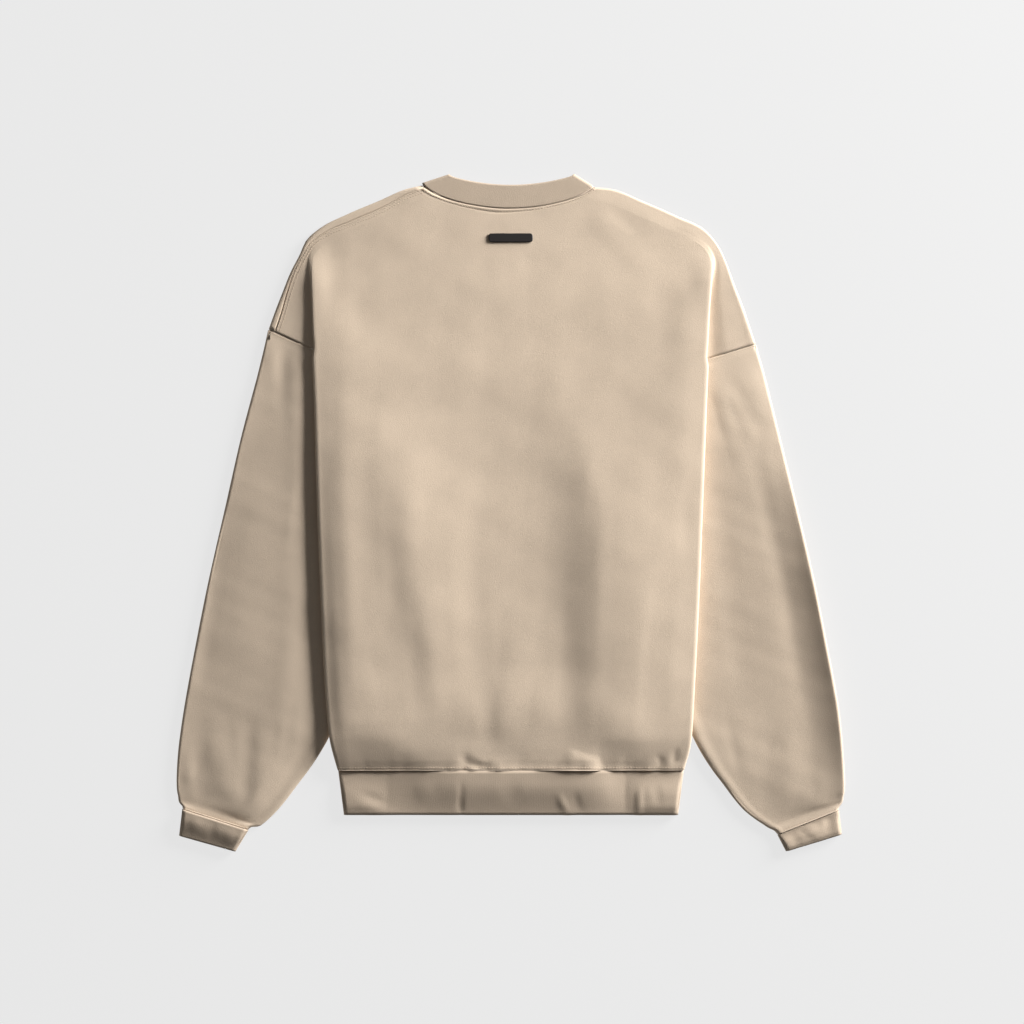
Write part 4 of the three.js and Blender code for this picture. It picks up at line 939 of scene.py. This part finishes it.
def cloth_material(name, group, colour, grain, ribs=0.0):
    """A matte cloth. Ribs are a sine of the distance along the band, which is the attribute along."""
    material, shader = plain_material(name, colour, 0.92, Specular_IOR_Level=0.15, Sheen_Weight=0.06,
                                      Sheen_Roughness=0.6)
    tree = material.node_tree
    made = add(tree, "ShaderNodeGroup", node_tree=group)
    made.inputs["Colour"].default_value = (*colour, 1)
    made.inputs["Mottle"].default_value = 0.15
    tree.links.new(made.outputs["Colour"], shader.inputs["Base Color"])
    bump = add(tree, "ShaderNodeBump", {
        "Height": made.outputs["Height"], "Strength": grain, "Distance": 0.0006})
    if ribs:
        place = add(tree, "ShaderNodeAttribute", attribute_name="along").outputs["Fac"]
        wave = maths(tree, "SINE", maths(tree, "MULTIPLY", place, 2 * np.pi / RIB_PERIOD))
        bump = add(tree, "ShaderNodeBump", {
            "Height": wave, "Strength": ribs, "Distance": 0.0006, "Normal": bump.outputs[0]})
    tree.links.new(bump.outputs[0], shader.inputs["Normal"])
    return material


CLOTH = cloth_group()
FLEECE_LOOK = cloth_material("fleece", CLOTH, (0.600, 0.486, 0.374), 0.45)
# The rib's colour is darker than the fleece: partly its own colour, partly painted shade meant for the hem
# band, which the cuffs and collar share
RIB_LOOK = cloth_material("rib", CLOTH, (0.480, 0.386, 0.296), 0.40, ribs=0.04)
TAB_LOOK = plain_material("tab", (0.014, 0.011, 0.010), 0.5)[0]
THREAD = plain_material("thread", (0.540, 0.434, 0.330), 0.8)[0]
# A lighter copy of the fleece for the raised edges at the hem, neck and cuffs: a painted highlight along the
# seams
SEAM_HIGHLIGHT_LOOK = plain_material("piping", (0.680, 0.565, 0.450), 0.8)[0]
FLOOR_LOOK = plain_material("floor", (0.08, 0.08, 0.08), 0.9, Emission_Color=(1, 1, 1, 1),
                            Emission_Strength=0.753, Specular_IOR_Level=0)[0]


def wall(name, grid, thickness, look, slot, banded=False, **options):
    """A piece that is a wall of the given thickness about a grid. A band also has the distance round its
    middle row, which places its ribs."""
    points, quads, source, soft = shell(grid, thickness, **options)
    place = chain_length(grid[len(grid) // 2])[source % grid.shape[1]] if banded else None
    return piece(name, points, quads, look, soft, place)


def kept_cells(grid, whole_from, first, last):
    """Which cells of a grid are kept: all from a row upward, and below it those between two columns."""
    rows, columns = np.arange(len(grid) - 1)[:, None], np.arange(grid.shape[1] - 1)[None]
    return (rows >= whole_from) | ((columns >= first) & (columns < last))


def made_back():
    """The back panel with its creases, gathers, puckers and seams' profiles, which of its cells are kept,
    the distances from its hem and neck seams, and its first row above the side seams."""
    coarse, first, left, right = back_grid()
    after = left + len(MAIN_SHARES)
    row_parts = parts_for(coarse[:, left:after], 3.1)
    # Finer rows at the hem seam and the neck seam
    row_parts[:4] = (5, 7, 7, 6)
    row_parts[-1] = 12
    fine = smooth(coarse, row_parts)
    first_row = int(row_parts[:first].sum())
    main_parts = parts_for(fine[:, left:after], 3.3, axis=1)
    column_parts = np.concatenate([flank_parts(left)[::-1], main_parts, flank_parts(right)])
    weights = np.concatenate([flank_weights(left, fine[:, left - 1, 1], LEFT)[:, ::-1],
                              np.ones((len(fine), len(MAIN_SHARES))),
                              flank_weights(right, fine[:, after, 1], RIGHT)], axis=1)
    weights = across(np.repeat(weights[..., None], 3, axis=2), column_parts)[..., 0]
    fine = across(fine, column_parts)
    x, y = fine[..., 0], fine[..., 1]
    from_hem, from_neck = travelled(fine), travelled(fine[::-1])[::-1]
    rise = crease(x, y, BODY_CREASES) + (slow_waves(x, y) + 0.12 * waves(x, y, 45, 8))
    rise = rise * ease(0, 12, from_hem) + gathers(x, y) + crease(x, y, HEM_PUCKERS)
    lip, puff = np.moveaxis(hem_lip(x), -1, 0)
    seam = (lip + BAND_PUFF * np.maximum(puff, 0)) * (1 - hem_share(HEM_SEAM_Y + from_hem))
    seam = seam + neck_welt(from_neck) * (np.abs(x) < WELT_X)
    fine[..., 2] += (rise + seam) * np.clip(weights, 0, 1)
    fold_left = column_parts[:left - FOLD_COLUMNS].sum()
    fold_right = fine.shape[1] - 1 - column_parts[len(column_parts) - (right - FOLD_COLUMNS):].sum()
    return fine, kept_cells(fine, first_row, fold_left, fold_right), from_hem, from_neck, first_row


def flank_parts(count):
    """How finely the columns beside the main part are cut: fold, shoulder and wrap."""
    return np.array(([2] * 4 + [3] * 2 + [2] * 4 + [7, 6, 2] + [3] * 4)[:count])


def flank_weights(count, y, side):
    """How much of the creases a flank's columns take: all on top, none inside the fold."""
    arc = (1 + np.cos(np.pi * np.arange(1, 5) / 4)) / 2
    inside = np.zeros(max(0, count - 13))
    folded = np.concatenate([arc, np.zeros(6), [0.4, 0.8, 1], inside])[:count]
    opened = np.concatenate([np.ones(13), inside])[:count]
    opening = ease(0, TIP_OPENING, side["fold_tip"] - y)[:, None]
    return mix(opened[None], folded[None], opening)


def made_front():
    """The front panel with shallow waves where it lies on the floor, and which of its cells are kept."""
    coarse, lowest, left, right = front_grid()
    row_parts, column_parts = parts_for(coarse, 7.0), parts_for(coarse, 6.0, axis=1)
    column_parts[0] = 3
    fine = across(smooth(coarse, row_parts), column_parts)
    x, y = fine[..., 0], fine[..., 1]
    under = np.clip(0.5 * waves(x, y, 120, 12) - 0.2 * crease(x, y, BODY_CREASES), 0, 0.8)
    flat = (np.abs(fine[..., 2] - FLOOR_LEVEL) < 0.05) & (np.abs(x) < 165)
    fine[..., 2] += under * flat * ease(0, 20, travelled(fine)) * ease(165, 140, np.abs(x))
    sides = column_parts[:left].sum(), fine.shape[1] - 1 - column_parts[-right:].sum()
    return fine, kept_cells(fine, row_parts[:lowest].sum(), *sides)


def made_sleeve(side, creases):
    """A sleeve with its creases on top and shallow ones underneath, a lip over the cuff and a step down at
    the armhole, the distances from its two seams, and how many columns its top has."""
    coarse, upper = sleeve_grid(side)
    row_parts = parts_for(coarse[:, :upper], 3.2)
    # Finer rows at the armhole, and set ones at the cuff
    row_parts[0] = 9
    row_parts[-4:] = (4, 3, 4, 2)
    fine = smooth(coarse, row_parts)
    gap = np.linalg.norm(np.roll(fine, -1, axis=1) - fine, axis=-1).mean(axis=0)
    on_top = np.arange(len(gap)) < upper - 1
    ring_parts = np.maximum(1, np.round(gap / np.where(on_top, 3.0, 6.0))).astype(int)
    weight = (np.arange(coarse.shape[1]) < upper).astype(float)
    weight = across(np.repeat(weight[None, :, None], 3, axis=2), ring_parts, closed=True)[0, :, 0]
    fine = across(fine, ring_parts, closed=True)
    x, y = fine[..., 0], fine[..., 1]
    rise = crease(x, y, creases) + 0.3 * waves(x, y, 110, 5) + 0.1 * waves(x, y, 35, 6)
    below = np.clip(-0.35 * crease(x, y, creases) + 0.25 * waves(x, y, 90, 9), 0, 0.9)
    from_arm, from_cuff = travelled(fine), travelled(fine[::-1])[::-1]
    visible = ease(-4, 4, np.abs(x) - track(side["body_edge"], y)[..., 0])
    lip = CUFF_LIP * np.clip(1 - (from_cuff / CUFF_LIP_REACH) ** 2, 0, 1) ** 2
    edge = lip * visible - ARM_STEP * (1 - ease(0, ARM_STEP_REACH, from_arm))
    rise = rise * ease(0, 8, from_arm) * ease(0, 9, from_cuff) * visible + edge
    below = below * ease(0, 30, from_arm) * ease(0, 25, from_cuff)
    fine[..., 2] += np.where(weight > 0.5, rise * np.clip(weight, 0, 1), below)
    return fine, from_arm, from_cuff, ring_parts[:upper - 1].sum()


def made_band(plan, lower, cells, creases, rows, tilt):
    """A rib band with its creases and its puff. A tilt above 0 raises its seam side and below 0 its free
    side. Without one the puff comes from the hem's table."""
    fine = band_grid(plan, lower, cells, rows)
    x, y = fine[..., 0], fine[..., 1]
    on_top = np.arange(fine.shape[1]) <= cells[0]
    soft = ease(0, 3, travelled(fine)) * ease(0, 1.5, travelled(fine[::-1])[::-1])
    v = np.linspace(0, 1, len(fine))[:, None]
    puff = hem_lip(x)[..., 1] if tilt is None else np.full(x.shape, tilt)
    high = BAND_PUFF * (np.maximum(puff, 0) * (1 - ease(0.28, 1.08, v))
                        + np.maximum(-puff, 0) * ease(0.1, 0.6, v) * (1 - ease(0.8, 1, v)))
    fine[..., 2] += np.where(on_top, crease(x, y, creases) * soft + high, 0)
    return fine


def hem_plan(u, v):
    """Plan of the hem band: straight across, narrowing a little downward."""
    reach = mix(*HEM_HALF_WIDTH, v) - BAND_INSET
    return np.stack([mix(-reach, reach, u), mix(HEM_SEAM_Y - SEAM_GAP, HEM_EDGE_Y, v) + 0 * u], -1)


def cuff_plan(side):
    """Plan of a cuff: the part between the four corners, inset for the folds at its ends."""
    outer_top, inner_top, inner_end, outer_end = (np.array(p, float) for p in side["cuff"])
    inset = BAND_INSET / np.linalg.norm(outer_top - inner_top)

    def plan(u, v):
        u = 1 - u if side["sign"] > 0 else u
        share = mix(inset, 1 - inset, np.asarray(u, float))[..., None]
        place = mix(mix(outer_top, inner_top, share), mix(outer_end, inner_end, share), v)
        return place * [side["sign"], 1]
    return plan, SEAM_GAP * 1.2 / np.linalg.norm(outer_top - outer_end)


def collar_plan(seam, edge, gap):
    """Plan of a layer of the collar, from its neck seam to its free edge, moved in at its ends."""
    shifts = []
    for a, b, sign in ((seam["from"], edge["from"], 1), (seam["to"], edge["to"], -1)):
        way = unit(np.subtract(b, a))
        shifts.append(np.array([way[1], -way[0]]) * sign * (BAND_INSET + COLLAR_CORNER_GAP))
    moved = {**edge, "from": np.add(edge["from"], shifts[0]), "to": np.add(edge["to"], shifts[1])}

    def plan(u, v):
        share = mix(u, (1 - np.cos(np.pi * u)) / 2, 0.6)
        x = mix(seam["from"][0] + shifts[0][0], seam["to"][0] + shifts[1][0], share)
        lift = COLLAR_CORNER_GAP * np.abs(2 * share - 1) ** 8
        low = np.stack([x, neck_seam_y(seam, x) + gap + lift], -1)
        return mix(low, np.stack(neck_point(moved, share), -1), v)
    return plan


# The back panel
back, back_keep, back_hem, back_neck, back_first = made_back()
back_piece = wall("back_cloth", back, FLEECE, FLEECE_LOOK, "fleece", keep=back_keep)
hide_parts("back_panel")

# The front panel
front, front_keep = made_front()
front_piece = wall("front_cloth", front, FLEECE, FLEECE_LOOK, "fleece", keep=front_keep)
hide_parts("front_panel")

# The sleeves
sleeves = []
for side, label, creases in ((LEFT, "left", LEFT_SLEEVE_CREASES), (RIGHT, "right", RIGHT_SLEEVE_CREASES)):
    sleeve = made_sleeve(side, creases)
    made = wall(f"sleeve_cloth_{label}", sleeve[0], FLEECE, FLEECE_LOOK, "fleece", ring=True,
                flip=side["sign"] < 0)
    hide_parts(f"sleeve_{label}")
    sleeves.append((made, *sleeve))

# The bands of rib
bands = []
cuff_left, gap_left = cuff_plan(LEFT)
cuff_right, gap_right = cuff_plan(RIGHT)
back_collar = collar_plan(BACK_SEAM, BACK_EDGE, SEAM_GAP * 2)
front_collar = collar_plan(FRONT_SEAM, FRONT_EDGE, SEAM_GAP * 3)
for name, plan, lower_plan, cells, creases, low, tilt in (
        ("hem", hem_plan, hem_plan, (170, 60), HEM_BAND_CREASES, 0, None),
        ("left_cuff", cuff_left, cuff_left, (44, 22), LEFT_CUFF_CREASES, gap_left, 0.8),
        ("right_cuff", cuff_right, cuff_right, (44, 22), RIGHT_CUFF_CREASES, gap_right, -0.3),
        ("collar", back_collar, front_collar, (110, 90), [], 0, 0)):
    grid = made_band(plan, lower_plan, cells, creases, mix(low, 1, BAND_ROWS), tilt)
    bands.append(wall(f"{name}_rib", grid, RIB, RIB_LOOK, "rib", banded=True, ring=True))
for made, node in zip(bands, ("hem_band", "cuff_left", "cuff_right", "collar")):
    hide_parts(node)

# The blank tab, a little above the back panel, with rounded ends
tab_u, tab_v = np.meshgrid(np.linspace(-1, 1, 41), np.linspace(-1, 1, 11))
into_corner = np.clip(np.abs(tab_u) * TAB_HALF - (TAB_HALF - TAB_CORNER), 0, TAB_CORNER)
narrow = TAB_CUT * (TAB_CORNER - np.sqrt(TAB_CORNER ** 2 - into_corner ** 2))
tab_x, tab_y = TAB_X + tab_u * TAB_HALF, TAB_Y + tab_v * (TAB_WIDTH - 2 * narrow) / 2
tab_z = back_height(tab_x, tab_y) + slow_waves(tab_x, tab_y) + (FLEECE + TAB_THICK) / 2 + LAYER_GAP
tab_piece = wall("blank_tab", np.stack([tab_x, tab_y, tab_z], -1), TAB_THICK, TAB_LOOK, "tab")
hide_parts("neck_tab")

# Sewing: rows of thread at a distance beside each seam, and the seams' raised edges; at the hem, neck and
# cuffs these carry a painted highlight
hem_edge = raised(*level_line(back, back_hem, 0), height=1.1, shift=(0, -0.4, 0))
neck_edge, neck_row = (level_line(back[::-1], back_neck[::-1], d, -1) for d in (0, HEM_STITCH))
neck_edge, neck_row = (
    raised(*line, np.abs(line[0][:, 0]) < NECK_STITCH_X, height, shift)
    for line, height, shift in ((neck_edge, 0.9, (0, 1.1, 0)), (neck_row, FLEECE / 2, (0, 0, 0))))
shoulder = back[back_first + 1:].swapaxes(0, 1)
shoulder_rows = [raised(*level_line(shoulder, travelled(shoulder), d, -1)) for d in SHOULDER_STITCHES]
stitches("back_thread", [raised(*level_line(back, back_hem, HEM_STITCH)), neck_row, *shoulder_rows])
hem_radius = HEM_PIPING + HEM_PIPING_SHARE * hem_lip(hem_edge[0][:, 0])[:, 0]
piping("back_piping", [(hem_edge, hem_radius), (neck_edge, NECK_PIPING)], SEAM_HIGHLIGHT_LOOK)
for side, (_, grid, from_arm, from_cuff, top_columns), label in zip(SIDES, sleeves, ("left", "right")):
    on_top = np.arange(grid.shape[1]) < top_columns
    arm, cuff = [], []
    for d, arm_height, cuff_height in ((SLEEVE_STITCH, FLEECE / 2, FLEECE / 2), (0, 0.5, 1.4)):
        line, normal = level_line(grid, from_arm, d, side["sign"])
        seen = on_top & (np.abs(line[:, 0]) > track(side["body_edge"], line[:, 1])[:, 0] - 3)
        arm.append(raised(line, normal, seen, arm_height))
        line, normal = level_line(grid[::-1], from_cuff[::-1], d, -side["sign"])
        cuff.append(raised(line, normal, on_top, cuff_height))
    stitches(f"sleeve_thread_{label}", [arm[0], cuff[0]], SLEEVE_STITCH_LIFT)
    piping(f"arm_piping_{label}", [(arm[1], ARM_PIPING)], THREAD)
    piping(f"cuff_piping_{label}", [(cuff[1], CUFF_PIPING)], SEAM_HIGHLIGHT_LOOK)

# Floor, light and camera
floor_mesh = bpy.data.meshes.new("floor")
corners = [(FLOOR_HALF * a, FLOOR_HALF * b, -FLOOR_DROP) for a, b in ((-1, -1), (1, -1), (1, 1), (-1, 1))]
floor_mesh.from_pydata(corners, [], [(0, 1, 2, 3)])
floor_mesh.materials.append(FLOOR_LOOK)
floor = bpy.data.objects.new("floor", floor_mesh)
bpy.context.scene.collection.objects.link(floor)

key_data = bpy.data.lights.new("key", "AREA")
key_data.size, key_data.energy, key_data.color = 1.55, 424, (1.0, 0.992, 0.98)
key = bpy.data.objects.new("key", key_data)
key.location = (2.909, 1.889, 0.962)
key.rotation_euler = (-key.location).to_track_quat("-Z", "Y").to_euler()
bpy.context.scene.collection.objects.link(key)
world = bpy.data.worlds.new("studio")
world.use_nodes = True
world.node_tree.nodes["Background"].inputs["Color"].default_value = (1, 1, 1, 1)
world.node_tree.nodes["Background"].inputs["Strength"].default_value = 0.125
bpy.context.scene.world = world
bpy.context.scene.view_settings.view_transform = "Standard"

camera_data = bpy.data.cameras.new("camera")
camera_data.lens = 85
camera = bpy.data.objects.new("camera", camera_data)
camera.location = (0.0011, -0.00055, 2.668)
bpy.context.scene.collection.objects.link(camera)
bpy.context.scene.camera = camera
